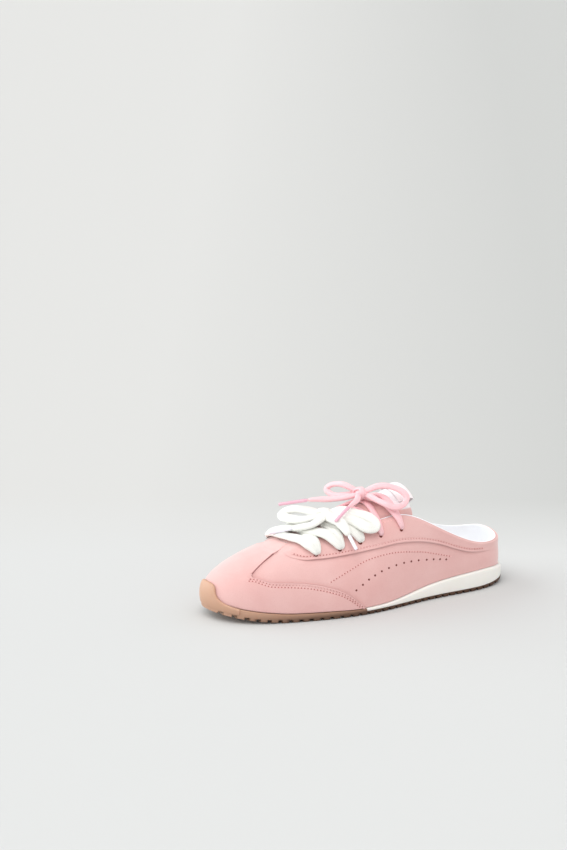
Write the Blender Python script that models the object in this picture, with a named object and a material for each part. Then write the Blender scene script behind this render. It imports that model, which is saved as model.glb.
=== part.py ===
"""Sneaker mule, the left shoe, modelled the way it is put together: a gum outsole with a toe bumper, a
wedge midsole, an insole, a hollow suede upper with its overlays, a tongue with a tape loop, and two laces.

Metres, +Z up, +X towards the toe, +Y towards the outer (lateral) side. The shoe stands on Z = 0.
"""

import math

import bpy
import bmesh
import numpy as np

# Driving sizes of the shoe.
LENGTH = 0.256
BALL_WIDTH = 0.086
INSTEP = 0.0705
HEEL_SEAT = 0.0165
TOE_SPRING = 0.0083
HEEL_RISE = 0.0028

# Thicknesses and clearances.
WALL = 0.0018
OVERLAY = 0.0010
GAP = 0.0003
SEAT = 0.0005
LEDGE = 0.0021
OUTSOLE_REAR = 0.0029
BUMPER_WALL = 0.0014
INSOLE_THICKNESS = 0.0030
TONGUE_THICKNESS = 0.0045
LABEL_THICKNESS = 0.0012

# Tread: straight ribs across the sole, wider apart under the forefoot than behind it.
FRONT_PITCH = 0.0082
REAR_PITCH = 0.0065
PITCH_CHANGE = (0.53, 0.62)
FIRST_GROOVE = 0.972
GROOVE_SHARE = 0.40
GROOVE_DEPTH = 0.0022

# Where the gum foxing hands over to the wedge, as a share of the length.
WEDGE_FRONT = 0.536

# The shoe's sections, one row for each station round the sole, from the heel along the outer side to the
# toe and back along the inner side. x and top_x are shares of LENGTH, y and top_y of BALL_WIDTH, top_z of
# INSTEP. rise, bulge, run and drop shape the wall between the sole and the top edge: the wall leaves the sole
# upwards by rise of its height and outwards by bulge of BALL_WIDTH, and it reaches the top edge over run of
# its inward travel and drop of its height.
STATIONS = (
    # name           x      y       top_x  top_y   top_z  rise  bulge  run   drop
    ("heel_back",    0.000, 0.000,  0.016, 0.000,  0.560, 0.40, 0.010, 0.60, 0.30),
    ("heel_lat_q",   0.030, 0.208,  0.040, 0.190,  0.535, 0.40, 0.012, 0.60, 0.30),
    ("heel_lat",     0.130, 0.318,  0.128, 0.292,  0.573, 0.40, 0.018, 0.60, 0.30),
    ("heel_waist_l", 0.270, 0.364,  0.258, 0.322,  0.808, 0.40, 0.020, 0.80, 0.30),
    ("waist_l",      0.400, 0.442,  0.372, 0.272,  1.000, 0.35, 0.010, 0.90, 0.30),
    ("instep_l",     0.520, 0.506,  0.480, 0.221,  0.940, 0.32, 0.004, 0.80, 0.28),
    ("ball_l",       0.630, 0.503,  0.590, 0.186,  0.865, 0.35, 0.004, 0.75, 0.24),
    ("little_toe",   0.745, 0.453,  0.672, 0.157,  0.825, 0.42, 0.006, 0.70, 0.24),
    ("toe_l",        0.875, 0.351,  0.717, 0.100,  0.806, 0.55, 0.006, 0.60, 0.28),
    ("toe_l_q",      0.965, 0.174,  0.728, 0.035,  0.803, 0.58, 0.018, 0.55, 0.32),
    ("toe_tip",      1.000, -0.035, 0.730, -0.029, 0.802, 0.60, 0.024, 0.52, 0.34),
    ("toe_m_q",      0.975, -0.225, 0.728, -0.093, 0.803, 0.58, 0.018, 0.55, 0.32),
    ("big_toe",      0.895, -0.385, 0.717, -0.157, 0.806, 0.55, 0.006, 0.60, 0.28),
    ("toe_m",        0.800, -0.470, 0.672, -0.215, 0.825, 0.50, 0.006, 0.70, 0.24),
    ("ball_m",       0.710, -0.497, 0.600, -0.238, 0.860, 0.44, 0.004, 0.75, 0.24),
    ("instep_m",     0.580, -0.405, 0.495, -0.250, 0.932, 0.38, 0.004, 0.80, 0.28),
    ("waist_m",      0.440, -0.310, 0.380, -0.272, 0.975, 0.35, 0.010, 0.90, 0.30),
    ("heel_waist_m", 0.290, -0.315, 0.268, -0.302, 0.740, 0.40, 0.020, 0.80, 0.30),
    ("heel_m",       0.135, -0.340, 0.130, -0.302, 0.560, 0.40, 0.018, 0.60, 0.30),
    ("heel_med_q",   0.030, -0.240, 0.040, -0.200, 0.570, 0.40, 0.012, 0.60, 0.30),
)
COLUMNS = ("x", "y", "top_x", "top_y", "top_z", "rise", "bulge", "run", "drop")
STATION = {row[0]: place for place, row in enumerate(STATIONS)}

# Height of the feather line, where the upper meets the sole: x share of LENGTH, share of HEEL_SEAT.
FEATHER = (
    (0.00, 0.86), (0.07, 0.97), (0.16, 0.94), (0.25, 0.82), (0.31, 0.70), (0.37, 0.53),
    (0.43, 0.38), (0.53, 0.30), (0.66, 0.36), (0.80, 0.45), (0.90, 0.66), (1.00, 1.00),
)

# Lower edge of the wing-shaped toe overlay in side view: x share of LENGTH, z share of INSTEP.
WING_LINE = (
    (0.520, 0.020), (0.557, 0.145), (0.602, 0.275), (0.664, 0.370), (0.719, 0.418), (0.787, 0.443),
    (0.830, 0.455), (0.866, 0.500),
)
# The bar over the toe lies between these numbers round the shoe.
BAR_SIDES = (8.5, 11.55)

# Lower edge of the eyestays in side view, from the heel to the throat's front.
EYESTAY_LINE = (
    (0.110, 0.450), (0.152, 0.474), (0.207, 0.545), (0.258, 0.624), (0.293, 0.665), (0.352, 0.709),
    (0.410, 0.723), (0.490, 0.695), (0.568, 0.667), (0.672, 0.647), (0.723, 0.652), (0.746, 0.674),
    (0.780, 0.720),
)
EYESTAY_ENDS = {"lateral": (2.0, 8.1), "medial": (11.95, 18.0)}

# Row of the lace holes in side view, and the holes' places along it.
EYELET_LINE = ((0.389, 0.865), (0.457, 0.823), (0.523, 0.773), (0.590, 0.716), (0.666, 0.681))
EYELETS = (0.666, 0.590, 0.523, 0.457, 0.389)

# Top edge of the toe bumper: steps round the toe from its tip, in stations, and share of the wall's height.
BUMPER_LINE = (
    (0.00, 0.205), (0.30, 0.203), (0.46, 0.190), (0.57, 0.160), (0.64, 0.115), (0.74, 0.070), (0.92, 0.034),
    (1.20, 0.012), (1.50, 0.003),
)

# The tongue under the eyestays, from its root to the top of the eyestays. lateral and medial are numbers
# round the shoe, edge is the share of the wall's height that the row follows, crown_x, crown_y and crown_z
# are shares of LENGTH, BALL_WIDTH and INSTEP, and lean says how far the arch's sides lean in.
TONGUE = (
    # lateral medial edge  crown_x crown_y crown_z lean
    (8.90, 11.10, 0.90, 0.745, -0.030, 0.722, 0.60),
    (8.30, 11.70, 0.97, 0.712, -0.030, 0.765, 0.60),
    (7.60, 12.40, 1.00, 0.678, -0.030, 0.805, 0.60),
    (6.90, 13.30, 1.00, 0.632, -0.028, 0.848, 0.55),
    (6.20, 14.20, 1.00, 0.585, -0.025, 0.890, 0.50),
    (5.60, 14.90, 1.00, 0.530, -0.020, 0.955, 0.42),
    (5.00, 15.50, 1.00, 0.475, -0.015, 1.052, 0.30),
    (4.50, 15.90, 1.00, 0.430, -0.010, 1.140, 0.16),
    (4.10, 16.15, 1.00, 0.395, -0.005, 1.190, 0.02),
)
# The tongue's free end above them: side_x, side_y, side_z, crown_x, crown_z, lean.
TONGUE_END = (
    (0.354, 0.232, 0.975, 0.374, 1.210, -0.04),
    (0.332, 0.218, 0.980, 0.346, 1.215, -0.04),
)
TONGUE_FLANK = 0.15
ARCH_POINTS = 11

# The tape loop over the tongue's top edge: how far along the tongue and out from its face, in metres.
LABEL_PROFILE = (
    # along    out
    (-0.0092, 0.0005), (-0.0074, 0.0014), (-0.0050, 0.0023), (-0.0022, 0.0028), (0.0006, 0.0026),
    (0.0028, 0.0012), (0.0034, -0.0014), (0.0026, -0.0040), (-0.0004, -0.0054), (-0.0060, -0.0054),
)
# Columns of the tongue's face that the tape covers.
LABEL_COLUMNS = slice(5, 12)

# Laces: width and thickness of the flat stretches, radius of the free stretches and of the tips.
# slant says how much of its way along the shoe a bar has gone by the time it reaches the throat's edge.
WHITE_LACE = {"width": 0.0100, "thickness": 0.0026, "radius": 0.0017, "slant": 0.22}
PINK_LACE = {"width": 0.0050, "thickness": 0.0022, "radius": 0.0016, "slant": 0.50}
TIP_RADIUS = 0.0015
# How far the columns through the lace holes lean forward between the sole and the holes, shares of LENGTH.
LATERAL_SLIP = -0.004
MEDIAL_SLIP = 0.016

# Knots of the bows: centre and half sizes, in metres from the heel's end of the sole.
KNOTS = {
    "white_knot": ((0.1534, 0.000, 0.0715), (0.0072, 0.0064, 0.0044)),
    "pink_knot": ((0.1220, 0.000, 0.0856), (0.0050, 0.0048, 0.0042)),
}
# Lace bars: hole on the outer side, hole on the inner side, shift along the shoe as a share of LENGTH, how far
# the bar is raised where it crosses the others, in metres, and the knot that it runs up to, if any.
WHITE_BARS = (
    # outer inner shift  rise    knot
    (1, 1, 0.000, 0.0000, ""),
    (2, 1, -0.006, 0.0003, ""),
    (1, 2, -0.008, 0.0007, ""),
    (3, 2, 0.000, 0.0008, ""),
    (2, 3, 0.003, 0.0013, ""),
    (3, 3, 0.006, 0.0004, "white_knot"),
)
PINK_BARS = (
    (4, 4, 0.000, 0.0000, ""),
    (5, 4, 0.004, 0.0003, ""),
    (4, 5, 0.003, 0.0006, ""),
    (5, 5, 0.003, 0.0009, "pink_knot"),
)


def smooth_loop(values, at):
    """A closed cubic spline through the rows of values, read at the numbers in at."""
    v = np.asarray(values, float)
    count = len(v)
    system = 4 * np.eye(count) + np.roll(np.eye(count), 1, 0) + np.roll(np.eye(count), -1, 0)
    slopes = np.linalg.solve(system, 3 * (np.roll(v, -1, 0) - np.roll(v, 1, 0)))
    at = np.asarray(at, float) % count
    i = np.floor(at).astype(int) % count
    t = (at - np.floor(at))[..., None]
    j = (i + 1) % count
    start = (2 * t**3 - 3 * t**2 + 1) * v[i] + (t**3 - 2 * t**2 + t) * slopes[i]
    return start + (3 * t**2 - 2 * t**3) * v[j] + (t**3 - t**2) * slopes[j]


def smooth_line(table, at, column=1):
    """A smooth curve through a table's rows, which are sorted by their first column."""
    x = np.array([row[0] for row in table], float)
    y = np.array([row[column] for row in table], float)
    slope = np.gradient(y, x)
    at = np.clip(np.asarray(at, float), x[0], x[-1])
    i = np.clip(np.searchsorted(x, at) - 1, 0, len(x) - 2)
    h = x[i + 1] - x[i]
    t = (at - x[i]) / h
    start = (2 * t**3 - 3 * t**2 + 1) * y[i] + (t**3 - 2 * t**2 + t) * h * slope[i]
    return start + (3 * t**2 - 2 * t**3) * y[i + 1] + (t**3 - t**2) * h * slope[i + 1]


def station_values(u):
    """Every column of STATIONS at the numbers u round the shoe, in metres or shares."""
    got = smooth_loop([row[1:] for row in STATIONS], u)
    return {name: got[..., k] for k, name in enumerate(COLUMNS)}


def floor_height(x):
    """The underside of the sole: flat, with toe spring and a little rise at the heel's end."""
    share = np.asarray(x) / LENGTH
    toe = np.clip((share - 0.74) / 0.26, 0, None)
    heel = np.clip((0.12 - share) / 0.12, 0, None)
    return TOE_SPRING * toe**2 + HEEL_RISE * heel**2


def feather_height(x):
    return HEEL_SEAT * smooth_line(FEATHER, np.asarray(x) / LENGTH)


def sole_outline(u, inset=0.0):
    """Points of the sole's plan outline, moved inwards by inset."""
    step = 1e-3
    here = station_values(u)
    ahead, behind = station_values(u + step), station_values(u - step)
    tangent = np.stack([(ahead["x"] - behind["x"]) * LENGTH, (ahead["y"] - behind["y"]) * BALL_WIDTH], -1)
    tangent /= np.linalg.norm(tangent, axis=-1, keepdims=True)
    outward = np.stack([-tangent[..., 1], tangent[..., 0]], -1)
    edge = np.stack([here["x"] * LENGTH, here["y"] * BALL_WIDTH], -1)
    return edge - outward * inset, outward


def wall_point(u, v):
    """The upper's outer surface: u round the shoe, v from the sole (0) to the top edge (1)."""
    s = station_values(u)
    foot, outward = sole_outline(u, LEDGE)
    foot_z = feather_height(foot[..., 0]) + 1.3 * GAP
    low = np.concatenate([foot, foot_z[..., None]], -1)
    top = np.stack([s["top_x"] * LENGTH, s["top_y"] * BALL_WIDTH, s["top_z"] * INSTEP], -1)
    travel = top - low
    up = np.zeros_like(low)
    up[..., 2] = travel[..., 2]
    flat = travel - up
    out = np.concatenate([outward, np.zeros_like(foot_z)[..., None]], -1)
    first = low + up * s["rise"][..., None] + out * (s["bulge"] * BALL_WIDTH)[..., None]
    second = top - flat * s["run"][..., None] - up * s["drop"][..., None]
    v = np.asarray(v)[..., None]
    return (1 - v) ** 3 * low + 3 * v * (1 - v) ** 2 * first + 3 * v**2 * (1 - v) * second + v**3 * top


def wall(u, v, lift=0.0):
    """A point of the upper's outer surface, moved out along its normal by lift, or in where lift is minus."""
    u, v = np.broadcast_arrays(np.asarray(u, float), np.asarray(v, float))
    step = 1e-3
    along = wall_point(u + step, v) - wall_point(u - step, v)
    upward = wall_point(u, v + step) - wall_point(u, v - step)
    normal = np.cross(upward, along)
    normal /= np.linalg.norm(normal, axis=-1, keepdims=True)
    return wall_point(u, v) + normal * lift


def crossing(u, line):
    """Where each column u of the wall crosses a line that is given in side view: its v."""
    v = np.linspace(0, 1, 81)
    points = wall(u[:, None], v[None, :])
    over = points[..., 2] - INSTEP * smooth_line(line, points[..., 0] / LENGTH)
    found = np.zeros(len(u))
    for k, row in enumerate(over):
        above = np.nonzero(row > 0)[0]
        if not len(above):
            found[k] = 1.0
        elif above[0] > 0:
            j = above[0]
            found[k] = v[j - 1] + (v[j] - v[j - 1]) * row[j - 1] / (row[j - 1] - row[j])
    return found


def station_at(share, side):
    """The number u of the station whose foot lies at this share of LENGTH, on side "l" or "m"."""
    half = STATION["toe_tip"]
    u = np.linspace(0, half, 400) if side == "l" else np.linspace(half, len(STATIONS), 400)
    x = station_values(u)["x"]
    return float(np.interp(share, x, u)) if side == "l" else float(np.interp(-share, -x, u))


def new_object(name, points, faces, finish):
    mesh = bpy.data.meshes.new(name)
    mesh.from_pydata([tuple(p) for p in np.asarray(points, float).reshape(-1, 3)], [], faces)
    made = bmesh.new()
    made.from_mesh(mesh)
    bmesh.ops.remove_doubles(made, verts=made.verts, dist=1e-7)
    bmesh.ops.recalc_face_normals(made, faces=made.faces)
    made.to_mesh(mesh)
    made.free()
    mesh.shade_smooth()
    mesh.set_sharp_from_angle(angle=math.radians(40))
    mesh.materials.append(finish)
    obj = bpy.data.objects.new(name, mesh)
    bpy.context.collection.objects.link(obj)
    return obj


def material(name, colour, roughness, metallic=0.0):
    made = bpy.data.materials.new(name)
    made.use_nodes = True
    shader = made.node_tree.nodes["Principled BSDF"]
    shader.inputs["Base Color"].default_value = (*colour, 1.0)
    shader.inputs["Roughness"].default_value = roughness
    shader.inputs["Metallic"].default_value = metallic
    return made


def two_sided(outer, inner, quads):
    """Points and faces of a closed sheet: its outer and inner points, and the quads that both share."""
    count = len(outer)
    points = np.concatenate([outer, inner])
    faces = [tuple(q) for q in quads] + [tuple(k + count for k in reversed(q)) for q in quads]
    edges = {}
    for quad in quads:
        for a, b in zip(quad, quad[1:] + quad[:1]):
            if (b, a) in edges:
                del edges[(b, a)]
            else:
                edges[(a, b)] = True
    faces += [(b, a, a + count, b + count) for a, b in edges]
    return points, faces


def grid_quads(rows, columns, closed=False):
    """Quads of a grid whose point in row r and column c is r * columns + c."""
    quads = []
    for low in range(0, (rows - 1) * columns, columns):
        high = low + columns
        for c in range(columns if closed else columns - 1):
            after = (c + 1) % columns
            quads.append((low + c, low + after, high + after, high + c))
    return quads


def ring_slab(rings):
    """A closed solid from equal rings of points, low to high, with a cap across the first and the last."""
    count = len(rings[0])
    points = np.concatenate(rings)
    faces = grid_quads(len(rings), count, closed=True)
    for first in (0, (len(rings) - 1) * count):
        for k in range(count // 2):
            a, b = first + k, first + k + 1
            c, d = first + (count - k - 1) % count, first + (count - k) % count
            corners = []
            for corner in (a, b, c, d):
                if corner not in corners:
                    corners.append(corner)
            faces.append(tuple(corners))
    return points, faces


def clear_scene():
    for obj in list(bpy.data.objects):
        bpy.data.objects.remove(obj, do_unlink=True)


def hidden(name, points, faces):
    """A cutter or another helper, kept out of the build."""
    obj = new_object(name, points, faces, material(name, (0.5, 0.5, 0.5), 0.5))
    obj.hide_render = True
    obj.display_type = "WIRE"
    return obj


def boolean(obj, operation, other, solver="EXACT"):
    made = obj.modifiers.new(other.name, "BOOLEAN")
    made.operation = operation
    made.solver = solver
    made.object = other


def prism(outline, half_width):
    """Points and faces of a side-view outline, carried across the shoe."""
    count = len(outline)
    points = [(x, y, z) for y in (-half_width, half_width) for x, z in outline]
    faces = [(k, (k + 1) % count, (k + 1) % count + count, k + count) for k in range(count)]
    faces += [tuple(range(count))[::-1], tuple(range(count, 2 * count))]
    return points, faces


def joined(parts):
    points, faces = [], []
    for some, some_faces in parts:
        faces += [tuple(k + len(points) for k in face) for face in some_faces]
        points += [tuple(p) for p in some]
    return points, faces


def make_upper(finish):
    columns, rows = 80, 10
    u = np.linspace(0, len(STATIONS), columns, endpoint=False)
    v = np.linspace(0, 1, rows)
    outer = wall(u[None, :], v[:, None])
    inner = wall(u[None, :], v[:, None], -WALL)
    inner[0, :, 2] = outer[0, :, 2]
    quads = grid_quads(rows, columns, closed=True)
    return new_object("upper", *two_sided(outer.reshape(-1, 3), inner.reshape(-1, 3), quads), finish)


def layer_rings(u, bottom, top, edge=0.0):
    """Rings of a sole layer between its bottom and top height functions, with softened edges."""
    rings = []
    for inset, share, lift in ((0.0012, 0.0, 0.0), (0.0, 0.0, 0.0011), (0.0, 1.0, -0.0006), (0.0006, 1.0, 0.0)):
        plan = sole_outline(u, inset + edge)[0]
        low, high = bottom(plan[:, 0]), top(plan[:, 0])
        rings.append(np.column_stack([plan, low + (high - low) * share + lift]))
    return rings


def groove_places():
    """Middle of each groove across the sole, from the toe back, and the pitch there."""
    places = []
    middle = FIRST_GROOVE * LENGTH
    while middle > REAR_PITCH:
        pitch = float(np.interp(middle / LENGTH, PITCH_CHANGE, (REAR_PITCH, FRONT_PITCH)))
        places.append((middle, pitch))
        middle -= pitch
    return places


def make_outsole(finish):
    """Gum unit: a full slab, cut back for the wedge, with the toe bumper joined on and grooves across."""
    u = np.linspace(0, len(STATIONS), 64, endpoint=False)
    outsole = new_object("outsole", *ring_slab(layer_rings(u, floor_height, feather_height)), finish)

    reach = BUMPER_LINE[-1][0]
    tip = STATION["toe_tip"]
    across = np.linspace(-reach, reach, 31)
    top = smooth_line(BUMPER_LINE, np.abs(across))
    share = np.linspace(0, 1, 7)[:, None]
    v = -0.05 + share * (top[None, :] + 0.05)
    near = SEAT + OVERLAY + 2 * GAP
    outer = wall(tip + across[None, :], v, near + BUMPER_WALL).reshape(-1, 3)
    inner = wall(tip + across[None, :], v, near).reshape(-1, 3)
    bumper = hidden("bumper_form", *two_sided(outer, inner, grid_quads(7, 31)))
    boolean(outsole, "UNION", bumper)

    front = WEDGE_FRONT * LENGTH
    floor = [(x, float(floor_height(x)) + OUTSOLE_REAR) for x in np.linspace(-LEDGE, front, 16)]
    room = prism(floor + [(front, INSTEP), (-LEDGE, INSTEP)], BALL_WIDTH)
    boolean(outsole, "DIFFERENCE", hidden("wedge_room", *room))

    grooves = []
    for middle, pitch in groove_places():
        low, high = middle - pitch * GROOVE_SHARE / 2, middle + pitch * GROOVE_SHARE / 2
        ceiling = float(floor_height(middle)) + GROOVE_DEPTH
        outline = [(low, -HEEL_RISE), (high, -HEEL_RISE), (high, ceiling), (low, ceiling)]
        grooves.append(prism(outline, BALL_WIDTH))
    boolean(outsole, "DIFFERENCE", hidden("grooves", *joined(grooves)))
    return outsole


def make_midsole(finish):
    """Wedge under heel and waist. Its front face stands just behind the step of the outsole."""
    share = WEDGE_FRONT - GAP / LENGTH
    lateral, medial = station_at(share, "l"), station_at(share, "m")
    half = 34
    u = np.concatenate([np.linspace(0, lateral, half), np.linspace(medial, len(STATIONS), half)[:-1]])

    def bottom(x):
        return floor_height(x) + OUTSOLE_REAR + GAP

    rings = layer_rings(u, bottom, feather_height)
    front = WEDGE_FRONT * LENGTH - GAP
    for ring in rings:
        ring[:, 0] = np.minimum(ring[:, 0], front)
    return new_object("midsole", *ring_slab(rings), finish)


def make_insole(finish):
    u = np.linspace(0, len(STATIONS), 60, endpoint=False)
    rings = []
    edge = 0.0006
    for inset, rise in ((edge, 0.0), (0.0, edge), (0.0, INSOLE_THICKNESS - edge), (edge, INSOLE_THICKNESS)):
        plan = sole_outline(u, LEDGE + WALL + 2 * GAP + inset)[0]
        rings.append(np.column_stack([plan, feather_height(plan[:, 0]) + SEAT + rise]))
    return new_object("insole", *ring_slab(rings), finish)


def overlay(name, u, rows_of_v, keep, finish):
    """A suede overlay on the upper: rows of v over the columns u, and which quads it keeps."""
    v = np.array(rows_of_v)
    outer = wall(u[None, :], v, SEAT + OVERLAY).reshape(-1, 3)
    inner = wall(u[None, :], v, SEAT).reshape(-1, 3)
    across = len(u) - 1
    quads = [q for k, q in enumerate(grid_quads(len(v), len(u))) if keep(k // across, k % across)]
    used = sorted({k for q in quads for k in q})
    place = {k: n for n, k in enumerate(used)}
    quads = [tuple(place[k] for k in q) for q in quads]
    return new_object(name, *two_sided(outer[used], inner[used], quads), finish)


def make_toe_overlay(finish):
    """Wings round the toe below WING_LINE, and the bar from the toe to the throat."""
    lateral, medial = station_at(WEDGE_FRONT + 0.012, "l"), station_at(WEDGE_FRONT + 0.012, "m")
    wing, bar = 20, 10
    u = np.concatenate([
        np.linspace(lateral, BAR_SIDES[0], wing + 1)[:-1],
        np.linspace(*BAR_SIDES, bar + 1),
        np.linspace(BAR_SIDES[1], medial, wing + 1)[1:],
    ])
    seam = np.maximum(crossing(u, WING_LINE), 0.03)
    low = [0.012 + (seam - 0.012) * share for share in np.linspace(0, 1, 5)]
    high = [seam + (0.965 - seam) * share for share in np.linspace(0, 1, 6)[1:]]

    def keep(row, column):
        return row < 4 or wing <= column < wing + bar

    return overlay("toe_overlay", u, low + high, keep, finish)


def make_eyestay(side, finish):
    u = np.linspace(*EYESTAY_ENDS[side], 34)
    low = np.minimum(crossing(u, EYESTAY_LINE), 0.9)
    rows = [low + (0.975 - low) * share for share in np.linspace(0, 1, 5)]
    return overlay("eyestay_" + side, u, rows, lambda row, column: True, finish)


def arch(side_a, side_b, crown, lean, count):
    """Points of an arch from one side over a crown to the other; lean draws its sides in."""
    side_a, side_b, crown = np.array(side_a), np.array(side_b), np.array(crown)
    middle = (side_a + side_b) / 2
    pull = (crown - middle) * 4 / 3
    first = side_a + (middle - side_a) * lean + pull
    second = side_b + (middle - side_b) * lean + pull
    t = np.linspace(0, 1, count)[:, None]
    return (1 - t) ** 3 * side_a + 3 * t * (1 - t) ** 2 * first + 3 * t**2 * (1 - t) * second + t**3 * side_b


def tongue_sections():
    """Rows of points across the tongue's face, from its root to its free end."""
    clear = -(WALL + GAP + 0.0004)
    sections = []
    table = np.array(TONGUE)
    for place in np.linspace(0, len(TONGUE) - 1, 11):
        low = int(min(place, len(TONGUE) - 2))
        row = table[low] + (table[low + 1] - table[low]) * (place - low)
        lateral, medial, edge, x, y, z, lean = row
        flank = edge - TONGUE_FLANK * np.array([1.0, 0.66, 0.33])
        left = wall(np.full(3, lateral), flank, clear)
        right = wall(np.full(3, medial), flank[::-1], clear)
        crown = (x * LENGTH, y * BALL_WIDTH, z * INSTEP)
        over = arch(wall(lateral, edge, clear), wall(medial, edge, clear), crown, lean, ARCH_POINTS)
        sections.append(np.concatenate([left, over, right]))
    for x, y, z, crown_x, crown_z, lean in TONGUE_END:
        side = np.array([x * LENGTH, y * BALL_WIDTH, z * INSTEP])
        other = side * (1, -1, 1)
        drop = np.array([0.0012, 0.0003, -0.0032])
        left = np.array([side + drop * k for k in (3, 2, 1)])
        right = left[::-1] * (1, -1, 1)
        over = arch(side, other, (crown_x * LENGTH, 0.0, crown_z * INSTEP), lean, ARCH_POINTS)
        sections.append(np.concatenate([left, over, right]))
    return np.array(sections)


def face_normals(grid):
    """Unit normals of a grid of points, out of the shoe."""
    normal = np.cross(np.gradient(grid, axis=0), np.gradient(grid, axis=1))
    return normal / np.linalg.norm(normal, axis=-1, keepdims=True)


def make_tongue(finish):
    grid = tongue_sections()
    normal = face_normals(grid)
    rows, columns = grid.shape[:2]
    across = np.abs(np.linspace(-1, 1, columns))
    thick = TONGUE_THICKNESS * (1 - 0.6 * across**3)
    inner = grid - normal * thick[None, :, None]
    quads = grid_quads(rows, columns)
    return new_object("tongue", *two_sided(grid.reshape(-1, 3), inner.reshape(-1, 3), quads), finish)


def make_label(finish):
    """Tape that leaves the tongue's face, arches over its top edge and ends behind it."""
    grid = tongue_sections()
    normal = face_normals(grid)[-1]
    edge = grid[-1]
    along = grid[-1] - grid[-2]
    along /= np.linalg.norm(along, axis=-1, keepdims=True)
    kept = LABEL_COLUMNS
    reach, out = np.array(LABEL_PROFILE).T[..., None, None]
    outer = edge[None, kept] + along[None, kept] * reach + normal[None, kept] * out
    facing = face_normals(outer)
    if (facing[0] * normal[kept]).sum() < 0:
        facing = -facing
    lifted = outer + facing * LABEL_THICKNESS
    rows, columns = outer.shape[:2]
    quads = grid_quads(rows, columns)
    return new_object("tongue_label", *two_sided(lifted.reshape(-1, 3), outer.reshape(-1, 3), quads), finish)


def crown_over(x):
    """Height of the tongue's crown at x."""
    rows = sorted((row[3], row[5]) for row in TONGUE)
    return INSTEP * smooth_line(rows, x / LENGTH)


def strap_path(lateral, medial, lace, rise, knot=""):
    """Centre line of a lace bar from a lace hole on the outer side, over the tongue, to one on the inner side.
    lateral and medial are the holes' shares of LENGTH. A slanting bar slants from the hole on, and one that
    is tied runs up to just under its knot."""
    lift = SEAT + OVERLAY + 2 * GAP + lace["thickness"] / 2 + rise
    slant = (medial - MEDIAL_SLIP - lateral + LATERAL_SLIP) * lace["slant"]
    ends = []
    for share, side, lean_over in ((lateral, "l", slant), (medial, "m", -slant)):
        columns = [station_at(share + lean_over * k, side) for k in (0.0, 0.5, 1.0)]
        holes = crossing(np.array(columns), EYELET_LINE)
        heights = holes + (1.0 - holes) * np.array([0.0, 0.5, 1.0])
        ends.append(wall(np.array(columns), heights, lift))
    a, b = ends[0][-1], ends[1][-1]
    if knot:
        (crown_x, crown_y, crown_z), radii = KNOTS[knot]
        crown_z -= radii[2] + GAP + lace["thickness"] / 2
    else:
        crown_x, crown_y = (a[0] + b[0]) / 2 + 0.004, (a[1] + b[1]) / 2
        crown_z = crown_over(crown_x) + 3 * GAP + lace["thickness"] / 2 + rise
    over = arch(a, b, (crown_x, crown_y, crown_z), 0.45, 9)
    return np.concatenate([ends[0][:-1], over, ends[1][:-1][::-1]])


def swept_strap(path, lace, sides=6):
    """Points and faces of a flat lace along a path that lies over the instep."""
    tangent = np.gradient(path, axis=0)
    tangent /= np.linalg.norm(tangent, axis=1, keepdims=True)
    axis = path.copy()
    axis[:, 1] = 0.0
    axis[:, 2] = 0.035
    normal = path - axis
    normal -= tangent * (normal * tangent).sum(1, keepdims=True)
    normal /= np.linalg.norm(normal, axis=1, keepdims=True)
    side = np.cross(tangent, normal)
    turn = np.linspace(0, 2 * math.pi, sides, endpoint=False)
    width = np.full(len(path), lace["width"] / 2)
    width[:2] *= (0.35, 0.8)
    width[-2:] *= (0.8, 0.35)
    points = (
        path[:, None]
        + side[:, None] * (width[:, None] * np.cos(turn))[..., None]
        + normal[:, None] * (lace["thickness"] / 2 * np.sin(turn))[None, :, None]
    )
    faces = grid_quads(len(path), sides, closed=True)
    last = (len(path) - 1) * sides
    faces += [tuple(range(sides))[::-1], tuple(range(last, last + sides))]
    return points.reshape(-1, 3), faces


def make_bars(name, pairs, lace, finish):
    """Joined lace bars: the first pair is the object, and the others are joined to it. A crossing bar starts
    a little to one side of the hole, as it comes up beside the bar that fills it."""
    first = None
    for place, (lateral_hole, medial_hole, shift, rise, knot) in enumerate(pairs):
        lateral = EYELETS[lateral_hole - 1] + LATERAL_SLIP + shift
        medial = EYELETS[medial_hole - 1] + MEDIAL_SLIP + shift
        points, faces = swept_strap(strap_path(lateral, medial, lace, rise, knot), lace)
        if first is None:
            first = new_object(name, points, faces, finish)
        else:
            boolean(first, "UNION", hidden(f"{name}_{place}", points, faces), "MANIFOLD")
    return first


def ball(name, centre, radii, finish):
    made = bmesh.new()
    bmesh.ops.create_icosphere(made, subdivisions=2, radius=1.0)
    for vert in made.verts:
        vert.co = [middle + reach * along for middle, reach, along in zip(centre, radii, vert.co)]
    mesh = bpy.data.meshes.new(name)
    made.to_mesh(mesh)
    made.free()
    mesh.shade_smooth()
    mesh.materials.append(finish)
    obj = bpy.data.objects.new(name, mesh)
    bpy.context.collection.objects.link(obj)
    return obj


def smooth_route(points, count):
    """A smooth curve through the chosen points, as count points at even steps."""
    points = np.array(points, float)
    place = np.arange(len(points), dtype=float)
    fine = np.linspace(0, len(points) - 1, 40 * len(points))
    dense = np.column_stack([
        smooth_line(list(zip(place, points[:, k])), fine) for k in range(3)
    ])
    run = np.concatenate([[0], np.cumsum(np.linalg.norm(np.diff(dense, axis=0), axis=1))])
    even = np.linspace(0, run[-1], count)
    return np.column_stack([np.interp(even, run, dense[:, k]) for k in range(3)])


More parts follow.
